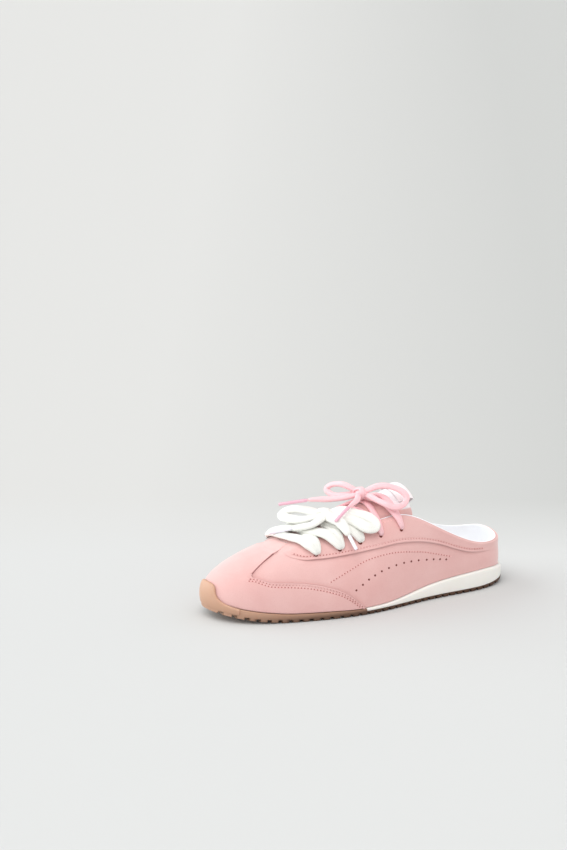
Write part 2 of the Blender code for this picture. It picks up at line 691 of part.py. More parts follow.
def tube(name, points, radius, finish, sides=2):
    """A plain round cord through its points."""
    length = sum(math.dist(a, b) for a, b in zip(points, points[1:]))
    route = smooth_route(points, max(3, int(length / (radius * 4)) + 1))
    data = bpy.data.curves.new(name, "CURVE")
    data.dimensions = "3D"
    spline = data.splines.new("POLY")
    spline.points.add(len(route) - 1)
    for spot, place in zip(spline.points, route):
        spot.co = (*place, 1.0)
    data.bevel_depth = radius
    data.bevel_resolution = sides
    data.use_fill_caps = True
    data.materials.append(finish)
    obj = bpy.data.objects.new(name, data)
    bpy.context.collection.objects.link(obj)
    return obj


# The free stretches of the laces, in metres from the heel's end of the sole: their knot and the points, chosen by
# hand, that each runs through after it leaves the knot. A loop comes back to it.
ROUTES = {
    "white_loop_front": ("white_knot", "loop", (
        (0.1660, -0.0100, 0.0760), (0.1730, -0.0200, 0.0760), (0.1765, -0.0270, 0.0730), (0.1800, -0.0270, 0.0695),
        (0.1820, -0.0185, 0.0680), (0.1760, -0.0080, 0.0675), (0.1690, -0.0020, 0.0690),
    )),
    "white_loop_rear": ("white_knot", "loop", (
        (0.1400, 0.0080, 0.0765), (0.1300, 0.0165, 0.0750), (0.1225, 0.0225, 0.0736), (0.1180, 0.0272, 0.0695),
        (0.1200, 0.0306, 0.0652), (0.1268, 0.0304, 0.0660), (0.1335, 0.0252, 0.0695), (0.1400, 0.0165, 0.0718),
    )),
    "white_end_side": ("white_knot", "end", (
        (0.1530, 0.0125, 0.0722), (0.1500, 0.0185, 0.0712), (0.1480, 0.0245, 0.0676), (0.1462, 0.0295, 0.0620),
    )),
    "white_end_front": ("white_knot", "end", (
        (0.1640, 0.0085, 0.0700), (0.1700, 0.0100, 0.0685), (0.1765, 0.0080, 0.0672), (0.1835, 0.0030, 0.0655),
    )),
    "pink_loop_front": ("pink_knot", "loop", (
        (0.1315, -0.0110, 0.0905), (0.1360, -0.0205, 0.0890), (0.1392, -0.0255, 0.0855), (0.1400, -0.0230, 0.0825),
        (0.1360, -0.0150, 0.0812),
    )),
    "pink_loop_rear": ("pink_knot", "loop", (
        (0.1130, 0.0095, 0.0925), (0.1055, 0.0150, 0.0935), (0.0975, 0.0205, 0.0905), (0.0940, 0.0245, 0.0855),
        (0.0980, 0.0268, 0.0806), (0.1055, 0.0258, 0.0792), (0.1130, 0.0200, 0.0822),
    )),
    "pink_end_long": ("pink_knot", "end", (
        (0.1360, -0.0005, 0.0835), (0.1480, -0.0050, 0.0825), (0.1570, -0.0085, 0.0825), (0.1640, -0.0105, 0.0822),
    )),
    "pink_end_short": ("pink_knot", "end", (
        (0.1300, 0.0095, 0.0835), (0.1350, 0.0118, 0.0817), (0.1395, 0.0140, 0.0800),
    )),
}
# Where the tips of the laces' ends reach.
TIPS = {
    "white_tip_side": ("white_end_side", (0.1440, 0.0380, 0.0530)),
    "white_tip_front": ("white_end_front", (0.1985, -0.0075, 0.0605)),
    "pink_tip_long": ("pink_end_long", (0.1862, -0.0160, 0.0800)),
    "pink_tip_short": ("pink_end_short", (0.1540, 0.0205, 0.0725)),
}


def knot_side(knot, towards):
    """The point just outside a knot on the way from its middle to another point."""
    centre, radii = np.array(KNOTS[knot])
    way = np.array(towards) - centre
    return centre + way / np.linalg.norm(way / radii) + way / np.linalg.norm(way) * GAP


def make_laces(white, pink, clear):
    make_bars("white_lace_bars", WHITE_BARS, WHITE_LACE, white)
    make_bars("pink_lace_bars", PINK_BARS, PINK_LACE, pink)
    for name, (centre, radii) in KNOTS.items():
        ball(name, centre, radii, white if name.startswith("white") else pink)
    for name, (knot, kind, points) in ROUTES.items():
        lace, finish = (WHITE_LACE, white) if name.startswith("white") else (PINK_LACE, pink)
        back = [knot_side(knot, points[-1])] if kind == "loop" else []
        tube(name, [knot_side(knot, points[0]), *points, *back], lace["radius"], finish)
    for name, (end, reach) in TIPS.items():
        last = np.array(ROUTES[end][2][-1])
        way = np.array(reach) - last
        tube(name, [last + way / np.linalg.norm(way) * 2 * GAP, reach], TIP_RADIUS, clear)


def stand_at_origin():
    """Moves the shoe so that the origin lies under the middle of its box, laces' free stretches left out."""
    free = set(KNOTS) | set(ROUTES) | set(TIPS)
    bpy.context.view_layer.update()
    graph = bpy.context.evaluated_depsgraph_get()
    corners = []
    for obj in bpy.data.objects:
        if obj.hide_render or obj.name in free:
            continue
        mesh = obj.evaluated_get(graph).to_mesh()
        corners += [tuple(v.co) for v in mesh.vertices]
    low, high = np.min(corners, 0), np.max(corners, 0)
    for obj in bpy.data.objects:
        obj.location = (-(low[0] + high[0]) / 2, -(low[1] + high[1]) / 2, -low[2])


def make_all():
    clear_scene()
    suede = material("pink_suede", (0.78, 0.46, 0.45), 0.85)
    gum = material("gum_rubber", (0.55, 0.33, 0.21), 0.6)
    foam = material("off_white_foam", (0.78, 0.78, 0.75), 0.6)
    lining = material("white_lining", (0.86, 0.86, 0.86), 0.9)
    white = material("white_cord", (0.88, 0.87, 0.84), 0.9)
    pink = material("pink_cord", (0.92, 0.60, 0.62), 0.9)
    clear = material("tip_plastic", (0.75, 0.60, 0.72), 0.3)
    make_outsole(gum)
    make_midsole(foam)
    make_insole(lining)
    make_upper(suede)
    make_toe_overlay(suede)
    make_eyestay("lateral", suede)
    make_eyestay("medial", suede)
    make_tongue(suede)
    make_label(lining)
    make_laces(white, pink, clear)
    stand_at_origin()


if __name__ == "__main__":
    make_all()
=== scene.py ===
# %% [markdown]
# # A pink suede sneaker mule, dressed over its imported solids
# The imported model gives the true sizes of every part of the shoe. This file keeps those places and gives each
# part its real surface: suede with stitched overlays, a gum and foam sole, soft flat laces, a white lining.
# Every piece is made from the same form functions as the solids, so the two can't drift apart.

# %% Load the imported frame
import math

import bmesh
import bpy
import numpy as np
from mathutils import Matrix, Vector
from mathutils.bvhtree import BVHTree


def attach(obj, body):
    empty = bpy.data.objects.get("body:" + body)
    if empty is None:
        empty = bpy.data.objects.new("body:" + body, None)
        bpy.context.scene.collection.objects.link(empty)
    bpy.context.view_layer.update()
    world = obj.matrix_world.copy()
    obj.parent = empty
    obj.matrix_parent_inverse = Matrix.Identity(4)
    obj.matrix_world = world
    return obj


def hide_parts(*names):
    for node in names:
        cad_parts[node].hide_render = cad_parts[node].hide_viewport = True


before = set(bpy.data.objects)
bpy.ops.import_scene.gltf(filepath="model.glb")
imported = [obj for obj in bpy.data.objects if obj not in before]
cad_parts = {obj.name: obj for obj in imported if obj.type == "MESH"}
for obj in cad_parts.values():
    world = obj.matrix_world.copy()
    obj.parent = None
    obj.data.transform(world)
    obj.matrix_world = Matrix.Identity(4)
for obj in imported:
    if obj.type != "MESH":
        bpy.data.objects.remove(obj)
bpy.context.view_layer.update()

# %% [markdown]
# ## The last
# A shoe is lofted over a last. Here the last is a table of stations round the sole: each gives the foot of the
# wall, its top edge and how the wall leaves both. A closed cubic spline through the table gives a smooth wall,
# on which every point has two numbers: u round the shoe and v from the sole up to the top edge.
# A mesh sculpted by hand could give the same outline, but then seams and stitches would need their own search.

# %% The last's tables
LENGTH = 0.256
BALL_WIDTH = 0.086
INSTEP = 0.0705
HEEL_SEAT = 0.0165
TOE_SPRING = 0.0083
HEEL_RISE = 0.0028
WALL = 0.0018
OVERLAY = 0.0010
GAP = 0.0003
SEAT = 0.0005
LEDGE = 0.0021
OUTSOLE_REAR = 0.0029
WEDGE_FRONT = 0.536
# The heel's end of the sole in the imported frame.
HEEL_END = np.array([-0.128778, -0.000497, 0.0])
STATIONS = (
    ("heel_back",    0.000, 0.000,  0.016, 0.000,  0.560, 0.40, 0.010, 0.60, 0.30),
    ("heel_lat_q",   0.030, 0.208,  0.040, 0.190,  0.535, 0.40, 0.012, 0.60, 0.30),
    ("heel_lat",     0.130, 0.318,  0.128, 0.292,  0.573, 0.40, 0.018, 0.60, 0.30),
    ("heel_waist_l", 0.270, 0.364,  0.258, 0.322,  0.808, 0.40, 0.020, 0.80, 0.30),
    ("waist_l",      0.400, 0.442,  0.372, 0.272,  1.000, 0.35, 0.010, 0.90, 0.30),
    ("instep_l",     0.520, 0.506,  0.480, 0.221,  0.940, 0.32, 0.004, 0.80, 0.28),
    ("ball_l",       0.630, 0.503,  0.590, 0.186,  0.865, 0.35, 0.004, 0.75, 0.24),
    ("little_toe",   0.745, 0.453,  0.672, 0.157,  0.825, 0.42, 0.006, 0.70, 0.24),
    ("toe_l",        0.875, 0.351,  0.717, 0.100,  0.806, 0.55, 0.006, 0.60, 0.28),
    ("toe_l_q",      0.965, 0.174,  0.728, 0.035,  0.803, 0.58, 0.018, 0.55, 0.32),
    ("toe_tip",      1.000, -0.035, 0.730, -0.029, 0.802, 0.60, 0.024, 0.52, 0.34),
    ("toe_m_q",      0.975, -0.225, 0.728, -0.093, 0.803, 0.58, 0.018, 0.55, 0.32),
    ("big_toe",      0.895, -0.385, 0.717, -0.157, 0.806, 0.55, 0.006, 0.60, 0.28),
    ("toe_m",        0.800, -0.470, 0.672, -0.215, 0.825, 0.50, 0.006, 0.70, 0.24),
    ("ball_m",       0.710, -0.497, 0.600, -0.238, 0.860, 0.44, 0.004, 0.75, 0.24),
    ("instep_m",     0.580, -0.405, 0.495, -0.250, 0.932, 0.38, 0.004, 0.80, 0.28),
    ("waist_m",      0.440, -0.310, 0.380, -0.272, 0.975, 0.35, 0.010, 0.90, 0.30),
    ("heel_waist_m", 0.290, -0.315, 0.268, -0.302, 0.740, 0.40, 0.020, 0.80, 0.30),
    ("heel_m",       0.135, -0.340, 0.130, -0.302, 0.560, 0.40, 0.018, 0.60, 0.30),
    ("heel_med_q",   0.030, -0.240, 0.040, -0.200, 0.570, 0.40, 0.012, 0.60, 0.30),
)
COLUMNS = ("x", "y", "top_x", "top_y", "top_z", "rise", "bulge", "run", "drop")
STATION = {row[0]: place for place, row in enumerate(STATIONS)}
ROUND = len(STATIONS)
FEATHER = (
    (0.00, 0.86), (0.07, 0.97), (0.16, 0.94), (0.25, 0.82), (0.31, 0.70), (0.37, 0.53),
    (0.43, 0.38), (0.53, 0.30), (0.66, 0.36), (0.80, 0.45), (0.90, 0.66), (1.00, 1.00),
)


# %% The wall's functions
def smooth_loop(values, at):
    """A closed cubic spline through the rows of values, read at the numbers in at."""
    v = np.asarray(values, float)
    count = len(v)
    system = 4 * np.eye(count) + np.roll(np.eye(count), 1, 0) + np.roll(np.eye(count), -1, 0)
    slopes = np.linalg.solve(system, 3 * (np.roll(v, -1, 0) - np.roll(v, 1, 0)))
    at = np.asarray(at, float) % count
    i = np.floor(at).astype(int) % count
    t = (at - np.floor(at))[..., None]
    j = (i + 1) % count
    start = (2 * t**3 - 3 * t**2 + 1) * v[i] + (t**3 - 2 * t**2 + t) * slopes[i]
    return start + (3 * t**2 - 2 * t**3) * v[j] + (t**3 - t**2) * slopes[j]


def smooth_line(table, at, column=1):
    """A smooth curve through a table's rows, which are sorted by their first column."""
    x = np.array([row[0] for row in table], float)
    y = np.array([row[column] for row in table], float)
    slope = np.gradient(y, x)
    at = np.clip(np.asarray(at, float), x[0], x[-1])
    i = np.clip(np.searchsorted(x, at) - 1, 0, len(x) - 2)
    h = x[i + 1] - x[i]
    t = (at - x[i]) / h
    start = (2 * t**3 - 3 * t**2 + 1) * y[i] + (t**3 - 2 * t**2 + t) * h * slope[i]
    return start + (3 * t**2 - 2 * t**3) * y[i + 1] + (t**3 - t**2) * h * slope[i + 1]


def station_values(u):
    got = smooth_loop([row[1:] for row in STATIONS], u)
    return {name: got[..., k] for k, name in enumerate(COLUMNS)}


def floor_height(x):
    """The underside of the sole: flat, with toe spring and a little rise at the heel's end."""
    share = np.asarray(x) / LENGTH
    toe = np.clip((share - 0.74) / 0.26, 0, None)
    heel = np.clip((0.12 - share) / 0.12, 0, None)
    return TOE_SPRING * toe**2 + HEEL_RISE * heel**2


def feather_height(x):
    return HEEL_SEAT * smooth_line(FEATHER, np.asarray(x) / LENGTH)


def sole_outline(u, inset=0.0):
    """Points of the sole's plan outline, moved inwards by inset, and the way out of it."""
    step = 1e-3
    here = station_values(u)
    ahead, behind = station_values(u + step), station_values(u - step)
    tangent = np.stack([(ahead["x"] - behind["x"]) * LENGTH, (ahead["y"] - behind["y"]) * BALL_WIDTH], -1)
    tangent /= np.linalg.norm(tangent, axis=-1, keepdims=True)
    outward = np.stack([-tangent[..., 1], tangent[..., 0]], -1)
    edge = np.stack([here["x"] * LENGTH, here["y"] * BALL_WIDTH], -1)
    return edge - outward * inset, outward


def wall_point(u, v):
    """The upper's outer surface: u round the shoe, v from the sole (0) to the top edge (1)."""
    s = station_values(u)
    foot, outward = sole_outline(u, LEDGE)
    foot_z = feather_height(foot[..., 0]) + 1.3 * GAP
    low = np.concatenate([foot, foot_z[..., None]], -1)
    top = np.stack([s["top_x"] * LENGTH, s["top_y"] * BALL_WIDTH, s["top_z"] * INSTEP], -1)
    travel = top - low
    up = np.zeros_like(low)
    up[..., 2] = travel[..., 2]
    flat = travel - up
    out = np.concatenate([outward, np.zeros_like(foot_z)[..., None]], -1)
    first = low + up * s["rise"][..., None] + out * (s["bulge"] * BALL_WIDTH)[..., None]
    second = top - flat * s["run"][..., None] - up * s["drop"][..., None]
    v = np.asarray(v)[..., None]
    return (1 - v) ** 3 * low + 3 * v * (1 - v) ** 2 * first + 3 * v**2 * (1 - v) * second + v**3 * top


def wall_normal(u, v):
    step = 1e-3
    along = wall_point(u + step, v) - wall_point(u - step, v)
    upward = wall_point(u, v + step) - wall_point(u, v - step)
    normal = np.cross(upward, along)
    return normal / np.linalg.norm(normal, axis=-1, keepdims=True)


def wall(u, v, lift=0.0):
    """A point of the wall, moved out along its normal by lift, or in where lift is minus."""
    u, v = np.broadcast_arrays(np.asarray(u, float), np.asarray(v, float))
    lift = np.broadcast_to(np.asarray(lift, float), u.shape)
    return wall_point(u, v) + wall_normal(u, v) * lift[..., None]


def crossing(u, line):
    """Where each column u of the wall crosses a line that is given in side view: its v."""
    v = np.linspace(0, 1, 121)
    points = wall_point(*np.broadcast_arrays(u[:, None], v[None, :]))
    over = points[..., 2] - INSTEP * smooth_line(line, points[..., 0] / LENGTH)
    found = np.zeros(len(u))
    for k, row in enumerate(over):
        above = np.nonzero(row > 0)[0]
        if not len(above):
            found[k] = 1.0
        elif above[0] > 0:
            j = above[0]
            found[k] = v[j - 1] + (v[j] - v[j - 1]) * row[j - 1] / (row[j - 1] - row[j])
    return found


def station_at(share, side):
    """The number u of the station whose foot lies at this share of LENGTH, on side "l" or "m"."""
    half = STATION["toe_tip"]
    u = np.linspace(0, half, 400) if side == "l" else np.linspace(half, ROUND, 400)
    x = station_values(u)["x"]
    return float(np.interp(share, x, u)) if side == "l" else float(np.interp(-share, -x, u))


def wall_height(u):
    """Length of each column of the wall, from the sole to the top edge, in metres."""
    v = np.linspace(0, 1, 25)
    points = wall_point(*np.broadcast_arrays(np.atleast_1d(u)[:, None], v[None, :]))
    return np.linalg.norm(np.diff(points, axis=1), axis=-1).sum(1)


print("wall at the toe, mm:", np.round(wall(10.0, 0.0) * 1000, 1), "length of its column:",
      np.round(wall_height(10.0) * 1000, 1))

# %% [markdown]
# ## The camera and the light
# The shoe was photographed from its outer side, a little from the front and from above, with a long lens. The
# picture's centre lies above the shoe, so the camera is turned and not shifted: its axes come from where the
# middle of the shoe has to lie in a frame of 567 by 850. The room is a pale studio: a wide soft light from the
# left and above, a weaker one from the front, one from behind the toe, and a bright sky. They are far away, so
# they are suns with a wide angle: the floor stays as even as in the photo and the shade's edges stay soft.

# %% Camera
FRAME_SIZE = (567, 850)
VIEW_SIDE = math.radians(25.64)
VIEW_RISE = math.radians(18.35)
VIEW_DISTANCE = 2.84
SHOE_MIDDLE_PIXEL = (353.8, 561.0)
PIXELS_PER_METRE = 1260.0


def camera_axes(target, back, pixel, focal):
    """Right, up and forward of a level camera that sees target at pixel."""
    a = (pixel[0] - FRAME_SIZE[0] / 2) / focal
    b = -(pixel[1] - FRAME_SIZE[1] / 2) / focal
    size = math.sqrt(1 + a * a + b * b)
    a, b = a / size, b / size
    to = -back
    turn = math.atan2(to[1], to[0]) - math.acos(a / math.hypot(to[0], to[1]))
    right = np.array([math.cos(turn), math.sin(turn), 0.0])
    upright = np.array([0.0, 0.0, 1.0])
    level = np.cross(upright, right)
    reach = math.hypot(to @ upright, to @ level)
    middle = math.atan2(to @ level, to @ upright)
    for sign in (1, -1):
        tilt = middle + sign * math.acos(b / reach)
        up = upright * math.cos(tilt) + level * math.sin(tilt)
        forward = level * math.cos(tilt) - upright * math.sin(tilt)
        if to @ forward > 0:
            return right, up, forward


back = np.array([
    math.sin(VIEW_SIDE) * math.cos(VIEW_RISE), math.cos(VIEW_SIDE) * math.cos(VIEW_RISE), math.sin(VIEW_RISE)
])
target = np.array([0.128, 0.0, 0.030]) + HEEL_END
focal = PIXELS_PER_METRE * VIEW_DISTANCE
right, up, forward = camera_axes(target, back, SHOE_MIDDLE_PIXEL, focal)
camera_data = bpy.data.cameras.new("camera")
camera_data.sensor_width = 36.0
camera_data.lens = 36.0 * focal / max(FRAME_SIZE)
camera = bpy.data.objects.new("camera", camera_data)
bpy.context.scene.collection.objects.link(camera)
camera.matrix_world = Matrix.Translation(target + back * VIEW_DISTANCE) @ Matrix(
    [(right[k], up[k], -forward[k]) for k in range(3)]
).to_4x4()
bpy.context.scene.camera = camera
bpy.context.scene.view_settings.view_transform = "Standard"
print("lens, mm:", round(camera_data.lens, 1))


# %% Lights and room
def wide_sun(name, toward, strength, angle, colour):
    """A distant light that stands in this direction from the shoe; a wide angle gives soft shade."""
    data = bpy.data.lights.new(name, "SUN")
    data.energy = strength
    data.angle = math.radians(angle)
    data.color = colour
    light = bpy.data.objects.new(name, data)
    bpy.context.scene.collection.objects.link(light)
    light.matrix_world = Vector(toward).to_track_quat("Z", "Y").to_matrix().to_4x4()
    return light


wide_sun("window_light", (0.85, 0.70, 2.2), 1.36, 50, (1.0, 0.985, 0.965))
wide_sun("toe_light", (0.80, -0.58, 0.24), 2.9, 80, (0.915, 1.0, 1.0))
wide_sun("front_fill", (-0.10, 1.0, 0.45), 0.59, 70, (1.0, 0.945, 0.92))
wide_sun("heel_light", (-0.92, 0.15, 0.14), 0.55, 60, (1.0, 0.96, 0.91))
world = bpy.data.worlds.new("studio")
bpy.context.scene.world = world
world.use_nodes = True
world.node_tree.nodes["Background"].inputs["Color"].default_value = (0.93, 0.94, 0.96, 1)
world.node_tree.nodes["Background"].inputs["Strength"].default_value = 0.64


# %% [markdown]
# ## Finishes
# Each finish is a Principled shader with its own constant sockets. Effects that several finishes share, such as
# the nap of suede, the knit of a lace and fine grain, are node groups that put out values only. They could be
# painted as images, but a pattern made from nodes stays sharp at any distance and needs no file.

# %% Helpers for colours and node groups
def srgb(red, green, blue):
    """A colour of 0 to 255 steps as Blender's linear numbers."""
    steps = [c / 255 for c in (red, green, blue)]
    return tuple(c / 12.92 if c <= 0.04045 else ((c + 0.055) / 1.055) ** 2.4 for c in steps) + (1.0,)


def effect(name, inputs, outputs):
    """An empty shader node group with named inputs (name, kind, value) and outputs (name, kind)."""
    group = bpy.data.node_groups.new(name, "ShaderNodeTree")
    for label, kind, value in inputs:
        made = group.interface.new_socket(label, in_out="INPUT", socket_type="NodeSocket" + kind)
        if value is not None:
            made.default_value = value
    for label, kind in outputs:
        group.interface.new_socket(label, in_out="OUTPUT", socket_type="NodeSocket" + kind)
    return group, group.nodes.new("NodeGroupInput"), group.nodes.new("NodeGroupOutput")


def wire(tree, *pairs):
    for start, end in pairs:
        tree.links.new(start, end)


def math_node(tree, operation, first, second, clamp=False):
    """A Math node whose inputs are sockets or numbers; gives its output."""
    node = tree.nodes.new("ShaderNodeMath")
    node.operation = operation
    node.use_clamp = clamp
    for place, value in enumerate((first, second)):
        if isinstance(value, (int, float)):
            node.inputs[place].default_value = value
        else:
            tree.links.new(value, node.inputs[place])
    return node.outputs[0]


def noise(tree, vector, scale, detail=2.0, roughness=0.5):
    """A Noise node; scale is a number or a socket. Gives its value."""
    node = tree.nodes.new("ShaderNodeTexNoise")
    node.inputs["Detail"].default_value = detail
    node.inputs["Roughness"].default_value = roughness
    tree.links.new(vector, node.inputs["Vector"])
    if isinstance(scale, (int, float)):
        node.inputs["Scale"].default_value = scale
    else:
        tree.links.new(scale, node.inputs["Scale"])
    return node.outputs[0]


# %% The nap of suede
def nap_group():
    """Blotch is where the nap lies one way or the other; Nap is the fine pile; Fleck is its darkest specks."""
    group, given, out = effect(
        "suede nap",
        [("Vector", "Vector", None), ("Blotch scale", "Float", 36.0), ("Nap scale", "Float", 1500.0)],
        [("Blotch", "Float"), ("Nap", "Float"), ("Fleck", "Float")],
    )
    large = noise(group, given.outputs["Vector"], given.outputs["Blotch scale"], 3.0, 0.55)
    fine = noise(group, given.outputs["Vector"], given.outputs["Nap scale"], 4.0, 0.62)
    middle = noise(group, given.outputs["Vector"], math_node(group, "MULTIPLY", given.outputs["Nap scale"], 0.22), 3.0)
    both = math_node(group, "ADD", math_node(group, "MULTIPLY", fine, 0.6), math_node(group, "MULTIPLY", middle, 0.4))
    wire(
        group,
        (math_node(group, "MULTIPLY_ADD", math_node(group, "SUBTRACT", large, 0.5), 2.2, True), out.inputs["Blotch"]),
        (both, out.inputs["Nap"]),
        (math_node(group, "MULTIPLY", math_node(group, "SUBTRACT", fine, 0.5, True), 2.0, True), out.inputs["Fleck"]),
    )
    return group


NAP = nap_group()


# %% The knit of laces, tape and lining
def knit_group():
    """Small V-shaped stitches on a map in metres: across in X and along in Y."""
    group, given, out = effect(
        "knit",
        [("Vector", "Vector", None), ("Wale", "Float", 0.0011), ("Course", "Float", 0.0010)],
        [("Height", "Float"), ("Gap", "Float")],
    )
    split = group.nodes.new("ShaderNodeSeparateXYZ")
    wire(group, (given.outputs["Vector"], split.inputs[0]))
    across = math_node(group, "DIVIDE", split.outputs[0], given.outputs["Wale"])
    along = math_node(group, "DIVIDE", split.outputs[1], given.outputs["Course"])
    lean = math_node(group, "PINGPONG", across, 0.5)
    row = math_node(group, "ADD", along, lean)
    ridge = math_node(group, "SINE", math_node(group, "MULTIPLY", row, 2 * math.pi), 0.0)
    column = math_node(group, "SINE", math_node(group, "MULTIPLY", across, 2 * math.pi), 0.0)
    sum_of = math_node(group, "ADD", math_node(group, "MULTIPLY", ridge, 0.3), math_node(group, "MULTIPLY", column, 0.2))
    height = math_node(group, "ADD", sum_of, 0.5, True)
    # Gap is high in the recesses between the stitches, where the finishes paint shade.
    wire(
        group,
        (height, out.inputs["Height"]),
        (math_node(group, "SUBTRACT", 0.35, height, True), out.inputs["Gap"]),
    )
    return group


KNIT = knit_group()


# %% Fine grain of rubber, foam and plastic
def grain_group():
    group, given, out = effect(
        "grain",
        [("Vector", "Vector", None), ("Grain scale", "Float", 900.0), ("Cloud scale", "Float", 45.0)],
        [("Grain", "Float"), ("Cloud", "Float")],
    )
    wire(
        group,
        (noise(group, given.outputs["Vector"], given.outputs["Grain scale"], 3.0), out.inputs["Grain"]),
        (noise(group, given.outputs["Vector"], given.outputs["Cloud scale"], 3.0), out.inputs["Cloud"]),
    )
    return group


GRAIN = grain_group()


# %% Start of a finish
def start_finish(name, roughness, **constants):
    """A material with its Principled shader's constants set, and a Bump that feeds its Normal."""
    made = bpy.data.materials.new(name)
    made.use_nodes = True
    tree = made.node_tree
    shader = tree.nodes["Principled BSDF"]
    shader.inputs["Roughness"].default_value = roughness
    for label, value in constants.items():
        shader.inputs[label.replace("_", " ").title().replace("Ior", "IOR")].default_value = value
    bump = tree.nodes.new("ShaderNodeBump")
    wire(tree, (bump.outputs[0], shader.inputs["Normal"]))
    place = tree.nodes.new("ShaderNodeTexCoord")
    return made, tree, shader, bump, place


def add_group(tree, group, vector, **values):
    node = tree.nodes.new("ShaderNodeGroup")
    node.node_tree = group
    wire(tree, (vector, node.inputs["Vector"]))
    for label, value in values.items():
        node.inputs[label.replace("_", " ").capitalize()].default_value = value
    return node


def mixed(tree, share, first, second, blend="MIX"):
    """A colour between first and second, by the socket or number share."""
    node = tree.nodes.new("ShaderNodeMix")
    node.data_type = "RGBA"
    node.blend_type = blend
    for socket, value in ((node.inputs[0], share), (node.inputs[6], first), (node.inputs[7], second)):
        if isinstance(value, (int, float, tuple)):
            socket.default_value = value
        else:
            tree.links.new(value, socket)
    return node.outputs[2]


def mark(tree, name):
    """A number stored on the piece's points, such as how near a cut edge is."""
    node = tree.nodes.new("ShaderNodeAttribute")
    node.attribute_name = name
    return node.outputs["Fac"]


# %% Pink suede
def suede(name, light, deep, edge):
    made, tree, shader, bump, place = start_finish(
        name, 0.93, sheen_weight=0.75, sheen_roughness=0.50, sheen_tint=(1.0, 0.97, 0.97, 1.0),
        specular_ior_level=0.18,
    )
    nap = add_group(tree, NAP, place.outputs["Object"])
    base = mixed(tree, nap.outputs["Blotch"], srgb(*light), srgb(*deep))
    base = mixed(tree, math_node(tree, "MULTIPLY", nap.outputs["Fleck"], 0.45), base, srgb(*edge))
    # The cut mark gives a darker edge colour: partly the cut edge's own deeper pink, partly painted shade along an
    # overlay's edge.
    base = mixed(tree, mark(tree, "cut"), base, srgb(*edge))
    # Painted shade: a dark line in the gap beside an overlay's edge.
    base = mixed(tree, mark(tree, "gap_painted_shade"), base, srgb(136, 78, 80))
    base = mixed(tree, mark(tree, "patch"), base, srgb(244, 240, 242))
    bump.inputs["Strength"].default_value = 0.32
    bump.inputs["Distance"].default_value = 0.00035
    wire(tree, (base, shader.inputs["Base Color"]), (nap.outputs["Nap"], bump.inputs["Height"]))
    return made


SUEDE = suede("pink suede", (228, 186, 182), (222, 174, 170), (196, 133, 129))
THREAD, tree, shader, bump, place = start_finish("pink thread", 0.7, sheen_weight=0.1)
grain = add_group(tree, GRAIN, place.outputs["Object"], grain_scale=2600.0)
wire(
    tree,
    (mixed(tree, grain.outputs["Grain"], srgb(250, 208, 204), srgb(238, 186, 182)), shader.inputs["Base Color"]),
    (grain.outputs["Grain"], bump.inputs["Height"]),
)
bump.inputs["Distance"].default_value = 0.0001
PIT, tree, shader, bump, place = start_finish("shade in a hole", 0.95, specular_ior_level=0.1)
grain = add_group(tree, GRAIN, place.outputs["Object"])
wire(
    tree,
    (mixed(tree, grain.outputs["Grain"], srgb(104, 52, 48), srgb(124, 66, 60)), shader.inputs["Base Color"]),
    (grain.outputs["Grain"], bump.inputs["Height"]),
)
NEEDLE, tree, shader, bump, place = start_finish("shade in a needle hole", 0.95, specular_ior_level=0.1)
grain = add_group(tree, GRAIN, place.outputs["Object"])
wire(
    tree,
    (mixed(tree, grain.outputs["Grain"], srgb(180, 108, 105), srgb(194, 124, 120)), shader.inputs["Base Color"]),
    (grain.outputs["Grain"], bump.inputs["Height"]),
)


# %% Gum rubber, white foam, lining
def rubber(name, light, deep, low, roughness):
    """Light and deep are two tones of the rubber; low is painted shade, laid on where the sole's painted-shade mark is
    set.
    """
    made, tree, shader, bump, place = start_finish(
        name, roughness, specular_ior_level=0.42, subsurface_weight=0.08,
        subsurface_radius=(0.004, 0.002, 0.001), subsurface_scale=1.0,
    )
    grain = add_group(tree, GRAIN, place.outputs["Object"], grain_scale=1400.0)
    base = mixed(tree, grain.outputs["Cloud"], srgb(*light), srgb(*deep))
    base = mixed(tree, mark(tree, "sole_painted_shade"), base, srgb(*low))
    wire(tree, (base, shader.inputs["Base Color"]), (grain.outputs["Grain"], bump.inputs["Height"]))
    bump.inputs["Strength"].default_value = 0.25
    bump.inputs["Distance"].default_value = 0.0002
    return made


# The gum's third colour is painted shade: darker low on the sole's side, towards the rear and in the grooves.
GUM = rubber("gum rubber", (205, 163, 138), (193, 149, 123), (76, 50, 34), 0.48)
# The foam's third colour is painted shade as well; the wedge carries no mark for it, so it isn't drawn.
FOAM = rubber("white foam", (240, 239, 234), (234, 232, 226), (180, 176, 168), 0.62)


def cloth(name, light, deep, roughness, wale, course, coordinates="Object", depth=0.0002, shade=0.86, **constants):
    made, tree, shader, bump, place = start_finish(name, roughness, **constants)
    knit = add_group(tree, KNIT, place.outputs[coordinates], wale=wale, course=course)
    grain = add_group(tree, GRAIN, place.outputs["Object"], grain_scale=2200.0)
    base = mixed(tree, grain.outputs["Cloud"], srgb(*light), srgb(*deep))
    # Painted shade: the knit's gaps are darkened towards deep times shade.
    base = mixed(tree, knit.outputs["Gap"], base, srgb(*[c * shade for c in deep]))
    height = math_node(tree, "ADD", knit.outputs["Height"], math_node(tree, "MULTIPLY", grain.outputs["Grain"], 0.5))
    wire(tree, (base, shader.inputs["Base Color"]), (height, bump.inputs["Height"]))
    bump.inputs["Strength"].default_value = 0.5
    bump.inputs["Distance"].default_value = depth
    return made


